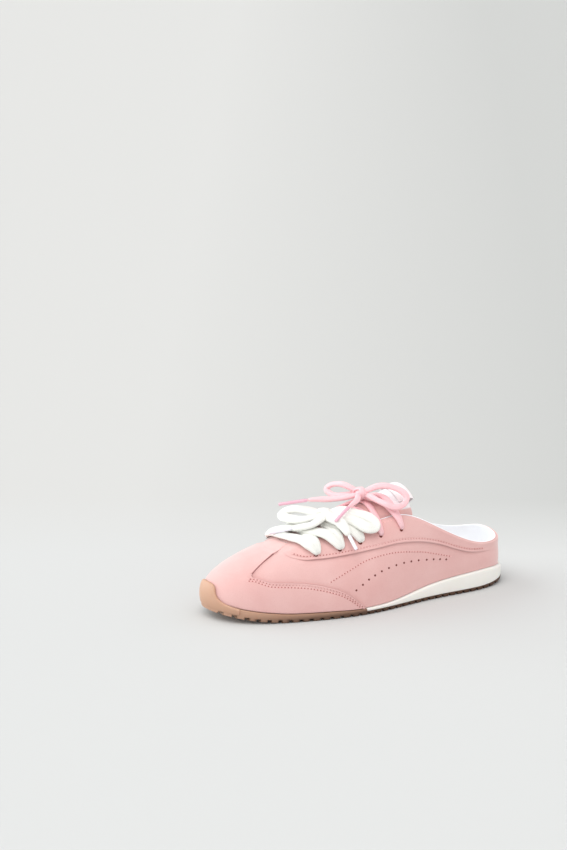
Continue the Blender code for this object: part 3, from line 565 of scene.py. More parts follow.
LINING = cloth("white lining", (252, 253, 255), (248, 249, 252), 0.9, 0.0009, 0.0009, "Object", 0.00003, 0.985,
               sheen_weight=0.2)
WHITE_CORD = cloth("white lace", (244, 244, 239), (236, 236, 229), 0.88, 0.0014, 0.0012, "UV", 0.00025,
                   sheen_weight=0.25, subsurface_weight=0.12, subsurface_radius=(0.002, 0.002, 0.002),
                   subsurface_scale=1.0)
PINK_CORD = cloth("pink lace", (252, 206, 210), (246, 192, 198), 0.85, 0.0011, 0.0010, "UV", 0.0002,
                  sheen_weight=0.25, subsurface_weight=0.12, subsurface_radius=(0.002, 0.001, 0.001),
                  subsurface_scale=1.0)
TAPE = cloth("satin tape", (250, 243, 244), (246, 236, 238), 0.42, 0.0006, 0.0005, "UV", 0.00008,
             sheen_weight=0.1)


def plastic(name, light, deep):
    made, tree, shader, bump, place = start_finish(name, 0.16, coat_weight=0.6, subsurface_weight=0.2,
                                                   subsurface_radius=(0.002, 0.002, 0.002), subsurface_scale=1.0)
    grain = add_group(tree, GRAIN, place.outputs["Object"], grain_scale=500.0)
    wire(
        tree,
        (mixed(tree, grain.outputs["Grain"], srgb(*light), srgb(*deep)), shader.inputs["Base Color"]),
        (grain.outputs["Grain"], bump.inputs["Height"]),
    )
    bump.inputs["Strength"].default_value = 0.1
    bump.inputs["Distance"].default_value = 0.0001
    return made


CLEAR_TIP = plastic("clear tip", (243, 240, 248), (234, 230, 243))
ROSE_TIP = plastic("rose tip", (238, 186, 200), (224, 170, 190))
print("finishes:", len(bpy.data.materials))


# %% [markdown]
# ## From points to a piece
# A piece is a grid of points, joined by quads. A leather sheet is two such grids, back to back, with a rim. One
# helper makes the mesh, moves it from the last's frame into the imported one, turns its faces outwards and stores
# marks on its points. Modifiers such as Solidify could give the thickness, but grids keep each edge's own shape.

# %% Mesh helpers
def grid_quads(rows, columns, round_columns=False, round_rows=False):
    """Quads of a grid whose point in row r and column c is r * columns + c."""
    r = np.arange(rows if round_rows else rows - 1)[:, None]
    c = np.arange(columns if round_columns else columns - 1)[None, :]
    low, high = r * columns, ((r + 1) % rows) * columns
    after = (c + 1) % columns
    quads = np.stack(np.broadcast_arrays(low + c, low + after, high + after, high + c), -1)
    return quads.reshape(-1, 4)


def new_piece(name, points, faces, finish, marks=None, uv=None):
    """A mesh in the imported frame. marks are numbers on its points; uv is a map of its points, in metres."""
    points = np.asarray(points, float).reshape(-1, 3) + HEEL_END
    mesh = bpy.data.meshes.new(name)
    mesh.from_pydata(points.tolist(), [], [tuple(int(k) for k in face) for face in faces])
    for label in ("cut", "gap_painted_shade", "sole_painted_shade", "patch"):
        values = None if marks is None else marks.get(label)
        if values is not None:
            mesh.attributes.new(label, "FLOAT", "POINT").data.foreach_set("value", np.asarray(values, np.float32))
    if uv is not None:
        loops = np.zeros(len(mesh.loops), int)
        mesh.loops.foreach_get("vertex_index", loops)
        layer = mesh.uv_layers.new(name="map")
        layer.data.foreach_set("uv", np.asarray(uv, np.float32)[loops].ravel())
    made = bmesh.new()
    made.from_mesh(mesh)
    bmesh.ops.recalc_face_normals(made, faces=made.faces)
    open_edges = sum(1 for edge in made.edges if len(edge.link_faces) != 2)
    made.to_mesh(mesh)
    made.free()
    mesh.shade_smooth()
    mesh.materials.append(finish)
    piece = bpy.data.objects.new(name, mesh)
    bpy.context.scene.collection.objects.link(piece)
    print(f"{name}: {len(mesh.polygons)} faces, open edges {open_edges}")
    return piece


def settle(piece, slot, *nodes, body="root"):
    """A finished piece rides on the shoe and stands for the CAD nodes; its slot is not used."""
    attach(piece, body)
    if nodes:
        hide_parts(*nodes)
    return piece


def rounded_profile(share, edge):
    """1 in the middle of a sheet, falling to 0 as a quarter circle over its last share, edge."""
    near = np.clip(share / edge, 0, 1)
    return np.sqrt(np.clip(1 - (1 - near) ** 2, 0, 1))


# %% [markdown]
# ## The upper
# The upper is one piece of suede, lasted over the foot and sewn to a white lining. It is made as a closed shell:
# its profile runs up the outside, over the rolled top edge and down the inside, and is carried round the last.
# Soft hollows along the seams and very shallow flex creases come from one relief function.

# %% Lines of the pattern on the wall
WING_LINE = (
    (0.520, 0.020), (0.557, 0.145), (0.602, 0.275), (0.664, 0.370), (0.719, 0.418), (0.787, 0.443),
    (0.830, 0.455), (0.866, 0.500),
)
BAR_SIDES = (8.5, 11.55)
EYESTAY_LINE = (
    (0.000, 0.408), (0.060, 0.430), (0.110, 0.450), (0.152, 0.474), (0.207, 0.545), (0.258, 0.624),
    (0.293, 0.665), (0.352, 0.709), (0.410, 0.723), (0.490, 0.695), (0.568, 0.667), (0.672, 0.647),
    (0.723, 0.652), (0.746, 0.674), (0.780, 0.720),
)
EYESTAY_ENDS = {"lateral": (0.0, 8.1), "medial": (11.95, 20.0)}
u_all = np.linspace(0, ROUND, 241)
SEAM_V = np.maximum(crossing(u_all, WING_LINE), 0.0)
STAY_V = np.minimum(crossing(u_all, EYESTAY_LINE), 0.93)


def seam_v(u):
    return np.interp(u, u_all, SEAM_V)


def stay_v(u):
    return np.interp(u, u_all, STAY_V)


# %% Relief of the suede
# Flex creases: station on the outer side, station on the inner side, height on the wall, depth in metres.
CREASES = ((6.55, 13.45, 0.44, 0.00022), (6.95, 13.0, 0.52, 0.00018), (6.1, 14.0, 0.36, 0.00014))


def relief(u, v):
    """How far the suede stands proud of the plain wall, or sinks under it, in metres."""
    u, v = np.broadcast_arrays(np.asarray(u, float), np.asarray(v, float))
    tall = np.interp(u, u_all, wall_height(u_all))
    lift = np.zeros_like(u)
    from_heel = np.clip((np.minimum(u, ROUND - u) - 1.2) / 1.0, 0, 1)
    for line, width, share in ((seam_v(u), 0.0022, 1.0), (stay_v(u), 0.0024, from_heel)):
        away = (v - line) * tall
        lift -= 0.00036 * share * np.exp(-(away / width) ** 2)
    lift += 0.00035 * np.exp(-(((v - (seam_v(u) + stay_v(u)) / 2) * tall) / 0.011) ** 2) * np.clip((u - 4.4) / 1.4, 0, 1) * np.clip((15.6 - u) / 1.4, 0, 1)
    for outer, inner, height, depth in CREASES:
        for station in (outer, inner):
            lift -= depth * np.exp(-((u - station) / 0.16) ** 2) * np.exp(-((v - height) / 0.17) ** 2)
    lift += 0.00010 * np.sin(u * 4.1 + v * 5.0) * np.sin(v * 7.0 + u * 1.3)
    return lift * np.clip(v / 0.06, 0, 1) * np.clip((1.0 - v) / 0.05, 0, 1)


# %% Upper and lining
def shell(name, columns, outer_lift, inner_lift, finish, foot_v=0.0, top_v=1.0, use_relief=True):
    """A closed shell round the last: up the outside, over the rim, down the inside."""
    u = np.linspace(0, ROUND, columns, endpoint=False)[None, :]
    rise = np.linspace(foot_v, top_v, 52)[:, None]
    bumps = relief(u, rise) if use_relief else 0.0
    outer = wall(u, rise, outer_lift + bumps)
    fall = np.linspace(top_v, foot_v, 30)[:, None]
    inner = wall(u, fall, inner_lift)
    half = (outer_lift - inner_lift) / 2
    middle = (outer_lift + inner_lift) / 2
    top = wall(u, np.full((1, 1), top_v), middle)[0]
    normal = wall_normal(*np.broadcast_arrays(u, np.full((1, 1), top_v)))[0]
    upward = wall_point(u, np.full_like(u, top_v))[0] - wall_point(u, np.full_like(u, top_v - 0.004))[0]
    upward /= np.linalg.norm(upward, axis=-1, keepdims=True)
    rim = [
        top + normal * half * math.cos(turn) + upward * half * 0.9 * math.sin(turn)
        for turn in np.linspace(0, math.pi, 8)[1:-1]
    ]
    points = np.concatenate([outer, np.array(rim), inner])
    faces = grid_quads(len(points), columns, True, True)
    marks = np.zeros(points.shape[:2])
    marks[51:58] = 0.35
    return new_piece(name, points, faces, finish, {"cut": marks.ravel()})


upper = shell("suede_upper", 560, 0.0, -0.0010, SUEDE, 0.0, 0.996)
settle(upper, "suede", "upper")
lining = shell("lining", 400, -0.00080, -WALL, LINING, 0.004, 1.012, False)
settle(lining, "lining")


# %% [markdown]
# ## The overlays
# The toe is covered by a wing-shaped piece of suede with a bar that runs up to the throat, and each side of the
# throat by an eyestay whose line runs back round the heel. Each is a sheet cut from the wall's own function, so
# it lies on the upper like the real one. Its edge is rounded over about half a millimetre and keeps a darker line
# where the cut shows: partly the cut edge's own deeper pink, partly painted shade beside the edge, deepest along
# the bar's sides and round the wing's corners. A Solidify on a cut-out face would give a square edge that catches
# the light too hard.

# %% Overlay helper
EDGE_STEPS = np.array([0.0, 0.00006, 0.0002, 0.0004, 0.0007, 0.0011, 0.0016, 0.0022, 0.0030])


def overlay_rows(low, high, tall, count, both=False):
    """Rows of v from low to high, close together in the first millimetres above low (and under high)."""
    first = low[None, :] + EDGE_STEPS[:, None] / tall[None, :]
    last = high[None, :] - (EDGE_STEPS[::-1, None] / tall[None, :] if both else 0.0 * tall[None, :])
    share = np.linspace(0, 1, count)[1:, None]
    body = first[-1][None, :] + (last[0] - first[-1])[None, :] * share
    return np.concatenate([first, body, last[1:]]) if both else np.concatenate([first, body])


def sheet_piece(name, points_out, points_in, keep, finish, marks):
    """A closed sheet from its outer and inner grids; keep says which quads stay."""
    rows, columns = points_out.shape[:2]
    quads = grid_quads(rows, columns)[keep.ravel()]
    used = np.unique(quads)
    place = np.zeros(rows * columns, int)
    place[used] = np.arange(len(used))
    quads = place[quads]
    count = len(used)
    edges = {}
    for quad in quads.tolist():
        for a, b in zip(quad, quad[1:] + quad[:1]):
            if (b, a) in edges:
                del edges[(b, a)]
            else:
                edges[(a, b)] = True
    faces = quads.tolist() + (quads[:, ::-1] + count).tolist()
    faces += [(b, a, a + count, b + count) for a, b in edges]
    points = np.concatenate([points_out.reshape(-1, 3)[used], points_in.reshape(-1, 3)[used]])
    marks = {label: np.tile(values.ravel()[used], 2) for label, values in marks.items()}
    return new_piece(name, points, faces, finish, marks)


# %% Toe overlay: wings and bar
CORNER = 0.0042
BAR_TOP = 0.965


def make_toe_overlay():
    lateral, medial = station_at(WEDGE_FRONT + 0.004, "l"), station_at(WEDGE_FRONT + 0.004, "m")
    fine = np.array([0.0, 0.012, 0.03, 0.055, 0.09, 0.13])
    wing = 120
    u = np.concatenate([
        np.linspace(lateral, BAR_SIDES[0] - fine[-1], wing)[:-1], BAR_SIDES[0] - fine[::-1],
        (BAR_SIDES[0] + fine[1:]), np.linspace(BAR_SIDES[0] + fine[-1], BAR_SIDES[1] - fine[-1], 60)[1:-1],
        (BAR_SIDES[1] - fine[::-1][:-1]), BAR_SIDES[1] + fine, np.linspace(BAR_SIDES[1] + fine[-1], medial, wing)[1:],
    ])
    tall = np.interp(u, u_all, wall_height(u_all))
    foot = wall_point(u, np.full_like(u, 0.5))
    run = np.concatenate([[0], np.cumsum(np.linalg.norm(np.diff(foot, axis=0), axis=1))])
    sides = np.interp(BAR_SIDES, u, run)
    from_bar = np.maximum(sides[0] - run, run - sides[1])
    in_bar = (u >= BAR_SIDES[0]) & (u <= BAR_SIDES[1])
    fillet = CORNER - np.sqrt(np.clip(CORNER**2 - np.clip(CORNER - from_bar, 0, CORNER) ** 2, 0, None))
    seam = np.maximum(seam_v(u), 0.02) + np.where(in_bar, CORNER, fillet) / tall
    low = 0.004 + 0 * u
    wing_rows = low[None, :] + (seam - 0.0030 / tall - low)[None, :] * np.linspace(0, 1, 26)[:, None]
    edge_rows = seam[None, :] - EDGE_STEPS[::-1, None][1:] / tall[None, :]
    bar_rows = seam[None, :] + (BAR_TOP - seam)[None, :] * np.linspace(0, 1, 46)[1:, None]
    v = np.concatenate([wing_rows, edge_rows, bar_rows])
    last_wing = len(wing_rows) + len(edge_rows) - 1
    rows, columns = v.shape
    keep = np.zeros((rows - 1, columns - 1), bool)
    keep[:last_wing] = True
    middle = (u[1:] + u[:-1]) / 2
    keep[:, (middle > BAR_SIDES[0]) & (middle < BAR_SIDES[1])] = True
    to_seam = np.where(in_bar[None, :], 1.0, np.clip(seam[None, :] - v, 0, None) * tall)
    to_side = np.where(in_bar, np.minimum(run - sides[0], sides[1] - run), 1.0)[None, :]
    above = np.arange(rows)[:, None] >= last_wing
    distance = np.where(above, np.minimum(to_side, 1.0), to_seam)
    corner = np.hypot(np.clip(from_bar, 0, None)[None, :], np.clip(seam[None, :] - v, 0, None) * tall)
    distance = np.where(above & in_bar[None, :], distance, np.minimum(distance, np.where(in_bar[None, :], 1.0, 1.0)))
    shape = rounded_profile(distance, 0.0006)
    bead = 0.00034 * np.exp(-((distance - 0.0009) / 0.0006) ** 2)
    stitched = 0.00022 * np.exp(-((to_seam - 0.0017) / 0.0007) ** 2) + 0.00022 * np.exp(-((to_seam - 0.0039) / 0.0007) ** 2)
    fade = np.where(above, np.interp(v, [0.785, 0.85], [1.0, 0.10]), 1.0)
    lift = (0.00012 + OVERLAY * 1.15 * shape + bead - stitched) * fade
    outer = wall(u[None, :], v, lift + 0.6 * relief(u[None, :], v) * (distance > 0.002))
    inner = wall(u[None, :], v, 0.00002)
    # Painted shade: a dark line in the gap along the bar's sides and round the wing's corners. The seam's darker line
    # is partly the cut edge's own tone and partly painted shade.
    bar_side_edge_and_shade = np.exp(-((distance) / 0.00034) ** 2) * above * in_bar[None, :]
    bar_side_edge_and_shade = bar_side_edge_and_shade * np.interp(v, [0.785, 0.802], [1.0, 0.0])
    seam_edge_and_shade = 0.60 * np.exp(-((to_seam) / 0.0003) ** 2) * ~above
    corner_painted_shade = np.exp(-((to_seam) / 0.00025) ** 2) * ~above * np.exp(-(np.clip(from_bar, 0, None)[None, :] / 0.0035) ** 2)
    gap_painted_shade = bar_side_edge_and_shade + corner_painted_shade
    return sheet_piece("toe_overlay_suede", outer, inner, keep, SUEDE,
                       {"cut": np.clip(seam_edge_and_shade + bar_side_edge_and_shade, 0, 1), "gap_painted_shade": np.clip(gap_painted_shade, 0, 1)})


toe_overlay = make_toe_overlay()
settle(toe_overlay, "suede", "toe_overlay")


# %% Eyestays
def make_eyestay(side):
    ends = EYESTAY_ENDS[side]
    front = ends[1] if side == "lateral" else ends[0]
    step = np.array([0.0, 0.012, 0.03, 0.055, 0.09, 0.13])
    inner_end = ends[0] if side == "lateral" else ends[1]
    sign = 1 if side == "lateral" else -1
    u = np.concatenate([np.linspace(inner_end, front - sign * step[-1], 300)[:-1], front - sign * step[::-1]])
    tall = np.interp(u, u_all, wall_height(u_all))
    middle = wall_point(u, np.full_like(u, 0.85))
    run = np.concatenate([[0], np.cumsum(np.linalg.norm(np.diff(middle, axis=0), axis=1))])
    from_front = run[-1] - run
    nose = 0.006
    fillet = nose - np.sqrt(np.clip(nose**2 - np.clip(nose - from_front, 0, nose) ** 2, 0, None))
    low = np.minimum(stay_v(u) + fillet / tall, 0.985)
    high = np.full_like(u, 0.993)
    v = overlay_rows(low, high, np.maximum(tall, 0.01), 26)
    v = np.minimum(v, 0.993)
    away = (v - low[None, :]) * tall[None, :]
    distance = np.minimum(away, from_front[None, :])
    round_heel = np.interp(run, [0.0, 0.028, 0.048], [1.0, 1.0, 0.0])[None, :]
    into_vamp = np.interp(from_front, [0.0, 0.009, 0.024], [1.0, 1.0, 0.0])[None, :]
    soft = np.maximum(round_heel, into_vamp)
    slope = np.clip(distance / 0.0100, 0, 1)
    shape = rounded_profile(distance, 0.0006) * (1 - soft) + slope**2 * (3 - 2 * slope) * soft
    bead = 0.00016 * np.exp(-((distance - 0.0010) / 0.0006) ** 2) * (1 - soft)
    stitched = 0.00014 * np.exp(-((away - 0.0029) / 0.0008) ** 2) * (1 - soft)
    over_rim = 1 - 0.75 * np.clip((v - 0.955) / 0.042, 0, 1) ** 2
    lift = 0.00012 + (OVERLAY * 1.15 * shape + bead - stitched) * over_rim
    outer = wall(u[None, :], v, lift + 0.5 * relief(u[None, :], v) * (distance > 0.002))
    inner = wall(u[None, :], v, 0.00002)
    keep = np.ones((v.shape[0] - 1, v.shape[1] - 1), bool)
    # A darker line along the eyestay's edge: partly the cut edge's own tone, partly painted shade; a quarter of it is
    # also painted as a dark shade line in the gap.
    cut = 0.90 * np.exp(-((distance) / 0.0003) ** 2) * (1 - soft)
    return sheet_piece(f"eyestay_{side}_suede", outer, inner, keep, SUEDE, {"cut": cut, "gap_painted_shade": 0.25 * cut})


eyestays = [settle(make_eyestay(side), "suede", f"eyestay_{side}") for side in EYESTAY_ENDS]


# %% [markdown]
# ## The tongue and its tape
# The tongue is a padded tongue of suede that comes out under the lacing and stands up above it, and a tape is
# folded over its top edge. Both come from rows of arches from one side to the other. The rows are few, so a
# cubic refinement makes them dense and smooth, and the thickness swells in the middle like foam in a cover.
# About the upper fifth of the tongue's face, across its middle, is a white cloth panel, under the tape.

# %% Tongue sections
TONGUE = (
    (8.90, 11.10, 0.90, 0.745, -0.030, 0.722, 0.60),
    (8.30, 11.70, 0.97, 0.712, -0.030, 0.765, 0.60),
    (7.60, 12.40, 1.00, 0.678, -0.030, 0.805, 0.60),
    (6.90, 13.30, 1.00, 0.632, -0.028, 0.848, 0.55),
    (6.20, 14.20, 1.00, 0.585, -0.025, 0.890, 0.50),
    (5.60, 14.90, 1.00, 0.530, -0.020, 0.955, 0.42),
    (5.00, 15.50, 1.00, 0.475, -0.015, 1.052, 0.30),
    (4.50, 15.90, 1.00, 0.430, -0.010, 1.140, 0.16),
    (4.10, 16.15, 1.00, 0.395, -0.005, 1.190, 0.02),
)
TONGUE_END = (
    (0.354, 0.232, 0.975, 0.374, 1.210, -0.04),
    (0.332, 0.218, 0.980, 0.346, 1.215, -0.04),
)
TONGUE_FLANK = 0.15
TONGUE_THICKNESS = 0.0045
ARCH_POINTS = 11


def arch(side_a, side_b, crown, lean, count):
    """Points of an arch from one side over a crown to the other; lean draws its sides in."""
    side_a, side_b, crown = np.array(side_a), np.array(side_b), np.array(crown)
    middle = (side_a + side_b) / 2
    pull = (crown - middle) * 4 / 3
    first = side_a + (middle - side_a) * lean + pull
    second = side_b + (middle - side_b) * lean + pull
    t = np.linspace(0, 1, count)[:, None]
    return (1 - t) ** 3 * side_a + 3 * t * (1 - t) ** 2 * first + 3 * t**2 * (1 - t) * second + t**3 * side_b


def tongue_sections():
    """Rows of points across the tongue's face, from its root to its free end."""
    clear = -(WALL + GAP + 0.0004)
    sections = []
    table = np.array(TONGUE)
    for place in np.linspace(0, len(TONGUE) - 1, 11):
        low = int(min(place, len(TONGUE) - 2))
        lateral, medial, edge, x, y, z, lean = table[low] + (table[low + 1] - table[low]) * (place - low)
        flank = edge - TONGUE_FLANK * np.array([1.0, 0.66, 0.33])
        left = wall(np.full(3, lateral), flank, clear)
        right_side = wall(np.full(3, medial), flank[::-1], clear)
        crown = (x * LENGTH, y * BALL_WIDTH, z * INSTEP)
        over = arch(wall(lateral, edge, clear), wall(medial, edge, clear), crown, lean, ARCH_POINTS)
        sections.append(np.concatenate([left, over, right_side]))
    for x, y, z, crown_x, crown_z, lean in TONGUE_END:
        side = np.array([x * LENGTH, y * BALL_WIDTH, z * INSTEP])
        drop = np.array([0.0012, 0.0003, -0.0032])
        left = np.array([side + drop * k for k in (3, 2, 1)])
        over = arch(side, side * (1, -1, 1), (crown_x * LENGTH, 0.0, crown_z * INSTEP), lean, ARCH_POINTS)
        sections.append(np.concatenate([left, over, left[::-1] * (1, -1, 1)]))
    return np.array(sections)


def refined(grid, rows, columns):
    """A grid of points made denser in both directions by smooth lines through it."""
    for axis, count in ((0, rows), (1, columns)):
        old = grid.shape[axis]
        moved = np.moveaxis(grid, axis, 0).reshape(old, -1)
        table = np.column_stack([np.arange(old, dtype=float), moved])
        at = np.linspace(0, old - 1, count)
        slope = np.gradient(moved, axis=0)
        i = np.clip(np.floor(at).astype(int), 0, old - 2)
        t = (at - i)[:, None]
        dense = (
            (2 * t**3 - 3 * t**2 + 1) * moved[i] + (t**3 - 2 * t**2 + t) * slope[i]
            + (3 * t**2 - 2 * t**3) * moved[i + 1] + (t**3 - t**2) * slope[i + 1]
        )
        shape = list(np.moveaxis(grid, axis, 0).shape)
        shape[0] = count
        grid = np.moveaxis(dense.reshape(shape), 0, axis)
    return grid


def face_normals(grid):
    normal = np.cross(np.gradient(grid, axis=0), np.gradient(grid, axis=1))
    return normal / np.linalg.norm(normal, axis=-1, keepdims=True)


# %% Padded tongue
def make_tongue():
    grid = refined(tongue_sections(), 150, 150)
    normal = face_normals(grid)
    rows, columns = grid.shape[:2]
    across = np.abs(np.linspace(-1, 1, columns))[None, :]
    end = np.linspace(0, 1, rows)[:, None]
    thick = TONGUE_THICKNESS * (1 - 0.6 * across**3)
    side_edge = rounded_profile(1 - across, 0.06)
    end_edge = rounded_profile(1 - end, 0.03)
    fill = np.minimum(side_edge, end_edge)
    outer = grid - normal * (thick * (1 - fill) * 0.45)[..., None]
    inner = grid - normal * (thick * (0.55 + 0.45 * fill))[..., None]
    keep = np.ones((rows - 1, columns - 1), bool)
    patch = np.clip((end - 0.775) / 0.006, 0, 1) * np.clip((0.52 - across) / 0.02, 0, 1)
    return sheet_piece("padded_tongue", outer, inner, keep, SUEDE, {"patch": patch})


tongue = make_tongue()
settle(tongue, "suede", "tongue")


# %% Tape over the tongue's top
LABEL_PROFILE = (
    (-0.0100, 0.0006), (-0.0076, 0.0013), (-0.0050, 0.0023), (-0.0022, 0.0028), (0.0006, 0.0026),
    (0.0028, 0.0012), (0.0034, -0.0014), (0.0026, -0.0040), (-0.0004, -0.0054), (-0.0060, -0.0054),
)
LABEL_COLUMNS = slice(5, 12)
LABEL_THICKNESS = 0.0012


def make_tape():
    grid = tongue_sections()
    normal = face_normals(grid)[-1]
    along = grid[-1] - grid[-2]
    along /= np.linalg.norm(along, axis=-1, keepdims=True)
    kept = LABEL_COLUMNS
    reach, out = np.array(LABEL_PROFILE).T[..., None, None]
    outer = grid[-1][None, kept] + along[None, kept] * reach + normal[None, kept] * out
    outer = refined(outer, 60, 70)
    facing = face_normals(outer)
    if (facing[0] * normal[8]).sum() < 0:
        facing = -facing
    lifted = outer + facing * LABEL_THICKNESS * 0.8
    rows, columns = outer.shape[:2]
    faces_uv = np.stack(np.broadcast_arrays(
        np.linspace(0, 0.026, columns)[None, :], np.linspace(0, 0.034, rows)[:, None]), -1).reshape(-1, 2)
    quads = grid_quads(rows, columns)
    count = rows * columns
    edges = {}
    for quad in quads.tolist():
        for a, b in zip(quad, quad[1:] + quad[:1]):
            if (b, a) in edges:
                del edges[(b, a)]
            else:
                edges[(a, b)] = True
    faces = quads.tolist() + (quads[:, ::-1] + count).tolist()
    faces += [(b, a, a + count, b + count) for a, b in edges]
    points = np.concatenate([lifted.reshape(-1, 3), outer.reshape(-1, 3)])
    return new_piece("tongue_tape", points, faces, TAPE, None, np.tile(faces_uv, (2, 1)))


settle(make_tape(), "satin_tape", "tongue_label")


# %% [markdown]
# ## The sole
# The sole is a moulded gum unit with a toe bumper, a white foam wedge let into it under heel and waist, and a
# white footbed inside. The gum is a lofted slab with the bumper joined on and the wedge's room and the grooves cut
# out with booleans, as a mould maker cuts its tool. The wedge and the footbed are lofted slabs.

# %% Sole helpers
def ring_slab(rings):
    """Points and faces of a closed solid from equal rings, low to high, capped by strips across."""
    count = len(rings[0])
    faces = grid_quads(len(rings), count, True).tolist()
    for first in (0, (len(rings) - 1) * count):
        for k in range(count // 2):
            corners = []
            for corner in (first + k, first + k + 1, first + (count - k - 1) % count, first + (count - k) % count):
                if corner not in corners:
                    corners.append(corner)
            faces.append(tuple(corners))
    return np.concatenate(rings), faces


def layer_rings(u, bottom, top, low_edge=0.0012, high_edge=0.0006):
    """Rings of a sole layer between two height functions, with rounded edges and a softly crowned side."""
    rings = []
    turns = np.linspace(0, math.pi / 2, 5)
    profile = [(low_edge * (1 - math.sin(t)), 0.0, low_edge * 0.92 * (1 - math.cos(t))) for t in turns]
    profile += [(-0.00015 * math.sin(math.pi * share), share, 0.0) for share in (0.35, 0.5, 0.65, 0.8)]
    profile += [(high_edge * (1 - math.cos(t)), 1.0, -high_edge * (1 - math.sin(t))) for t in turns]
    for inset, share, lift in profile:
        plan = sole_outline(u, inset)[0]
        low, high = bottom(plan[:, 0]), top(plan[:, 0])
        rings.append(np.column_stack([plan, low + (high - low) * share + lift]))
    return rings


def prism(outline, half_width):
    count = len(outline)
    points = [(x, y, z) for y in (-half_width, half_width) for x, z in outline]
    faces = [(k, (k + 1) % count, (k + 1) % count + count, k + count) for k in range(count)]
    faces += [tuple(range(count))[::-1], tuple(range(count, 2 * count))]
    return points, faces


def cut_with(piece, operation, points, faces):
    """Applies a boolean with a helper solid and removes the helper."""
    helper = new_piece("helper", points, faces, GUM)
    made = piece.modifiers.new("cut", "BOOLEAN")
    made.operation = operation
    made.solver = "EXACT"
    made.object = helper
    graph = bpy.context.evaluated_depsgraph_get()
    mesh = bpy.data.meshes.new_from_object(piece.evaluated_get(graph))
    piece.modifiers.clear()
    piece.data = mesh
    bpy.data.objects.remove(helper, do_unlink=True)


# %% Gum unit
FRONT_PITCH = 0.0082
REAR_PITCH = 0.0065
PITCH_CHANGE = (0.53, 0.62)
FIRST_GROOVE = 0.972
GROOVE_SHARE = 0.40
GROOVE_DEPTH = 0.0022
BUMPER_LINE = (
    (0.00, 0.205), (0.30, 0.203), (0.46, 0.190), (0.57, 0.160), (0.64, 0.115), (0.74, 0.070), (0.92, 0.034),
    (1.20, 0.012), (1.50, 0.003),
)
BUMPER_WALL = 0.0014


def groove_places():
    places = []
    middle = FIRST_GROOVE * LENGTH
    while middle > REAR_PITCH:
        pitch = float(np.interp(middle / LENGTH, PITCH_CHANGE, (REAR_PITCH, FRONT_PITCH)))
        places.append((middle, pitch))
        middle -= pitch
    return places


def make_gum():
    u = np.linspace(0, ROUND, 320, endpoint=False)
    gum = new_piece("gum_unit", *ring_slab(layer_rings(u, floor_height, feather_height)), GUM)
    tip = STATION["toe_tip"]
    across = np.linspace(-1, 1, 161) * BUMPER_LINE[-1][0]
    top = smooth_line(BUMPER_LINE, np.abs(across))
    share = np.concatenate([np.linspace(0, 0.8, 16), 1 - np.array([0.15, 0.1, 0.06, 0.03, 0.012, 0.0])])[:, None]
    v = -0.05 + share * (top[None, :] + 0.05)
    tall = wall_height(tip + across)[None, :]
    near = SEAT + OVERLAY + GAP
    to_rim = (top[None, :] - v) * tall
    swell = (2 * GAP + BUMPER_WALL - 0.0004) * rounded_profile(to_rim, 0.0016)
    outer = wall(tip + across[None, :], v, near + swell + 0.0001).reshape(-1, 3)
    inner = wall(tip + across[None, :], v, near).reshape(-1, 3)
    quads = grid_quads(*v.shape)
    count = len(outer)
    rows, columns = v.shape
    around = [k for k in range(columns)] + [r * columns + columns - 1 for r in range(1, rows)]
    around += [(rows - 1) * columns + k for k in range(columns - 2, -1, -1)] + [r * columns for r in range(rows - 2, 0, -1)]
    faces = quads.tolist() + (quads[:, ::-1] + count).tolist()
    faces += [(b, a, a + count, b + count) for a, b in zip(around, around[1:] + around[:1])]
    cut_with(gum, "UNION", np.concatenate([outer, inner]), faces)
    front = WEDGE_FRONT * LENGTH
    floor = [(x, float(floor_height(x)) + OUTSOLE_REAR) for x in np.linspace(-LEDGE, front, 40)]
    cut_with(gum, "DIFFERENCE", *prism(floor + [(front, INSTEP), (-LEDGE, INSTEP)], BALL_WIDTH))
    points, faces = [], []
    for middle, pitch in groove_places():
        low, high = middle - pitch * GROOVE_SHARE / 2, middle + pitch * GROOVE_SHARE / 2
        ceiling = float(floor_height(middle)) + GROOVE_DEPTH
        some, some_faces = prism(
            [(low - 0.0003, -HEEL_RISE), (high + 0.0003, -HEEL_RISE), (high - 0.0003, ceiling), (low + 0.0003, ceiling)],
            BALL_WIDTH,
        )
        faces += [tuple(k + len(points) for k in face) for face in some_faces]
        points += some
    cut_with(gum, "DIFFERENCE", points, faces)
    mesh = gum.data
    co = np.zeros(len(mesh.vertices) * 3)
    mesh.vertices.foreach_get("co", co)
    co = co.reshape(-1, 3) - HEEL_END
    above = co[:, 2] - floor_height(co[:, 0])
    # Painted shade on the gum: darker low on its side, towards the rear, and full inside the grooves.
    sole_painted_shade = np.interp(above, [0.0018, 0.0031, 0.0048, 0.0100], [1.0, 0.95, 0.64, 0.13])
    sole_painted_shade *= np.interp(co[:, 0], [0.130, 0.155, 0.200, 0.250], [1.0, 0.95, 0.78, 0.12])
    for middle, pitch in groove_places():
        inside = np.abs(co[:, 0] - middle) < pitch * GROOVE_SHARE / 2 + 0.0001
        sole_painted_shade[inside & (above > 0.0004) & (above < GROOVE_DEPTH + 0.0003)] = 1.0
    mesh.attributes.new("sole_painted_shade", "FLOAT", "POINT").data.foreach_set("value", sole_painted_shade.astype(np.float32))
    mesh.shade_smooth()
    mesh.set_sharp_from_angle(angle=math.radians(38))
    return gum


gum = make_gum()
settle(gum, "gum", "outsole")
print("gum unit faces:", len(gum.data.polygons), "finishes on it:", [m.name for m in gum.data.materials])


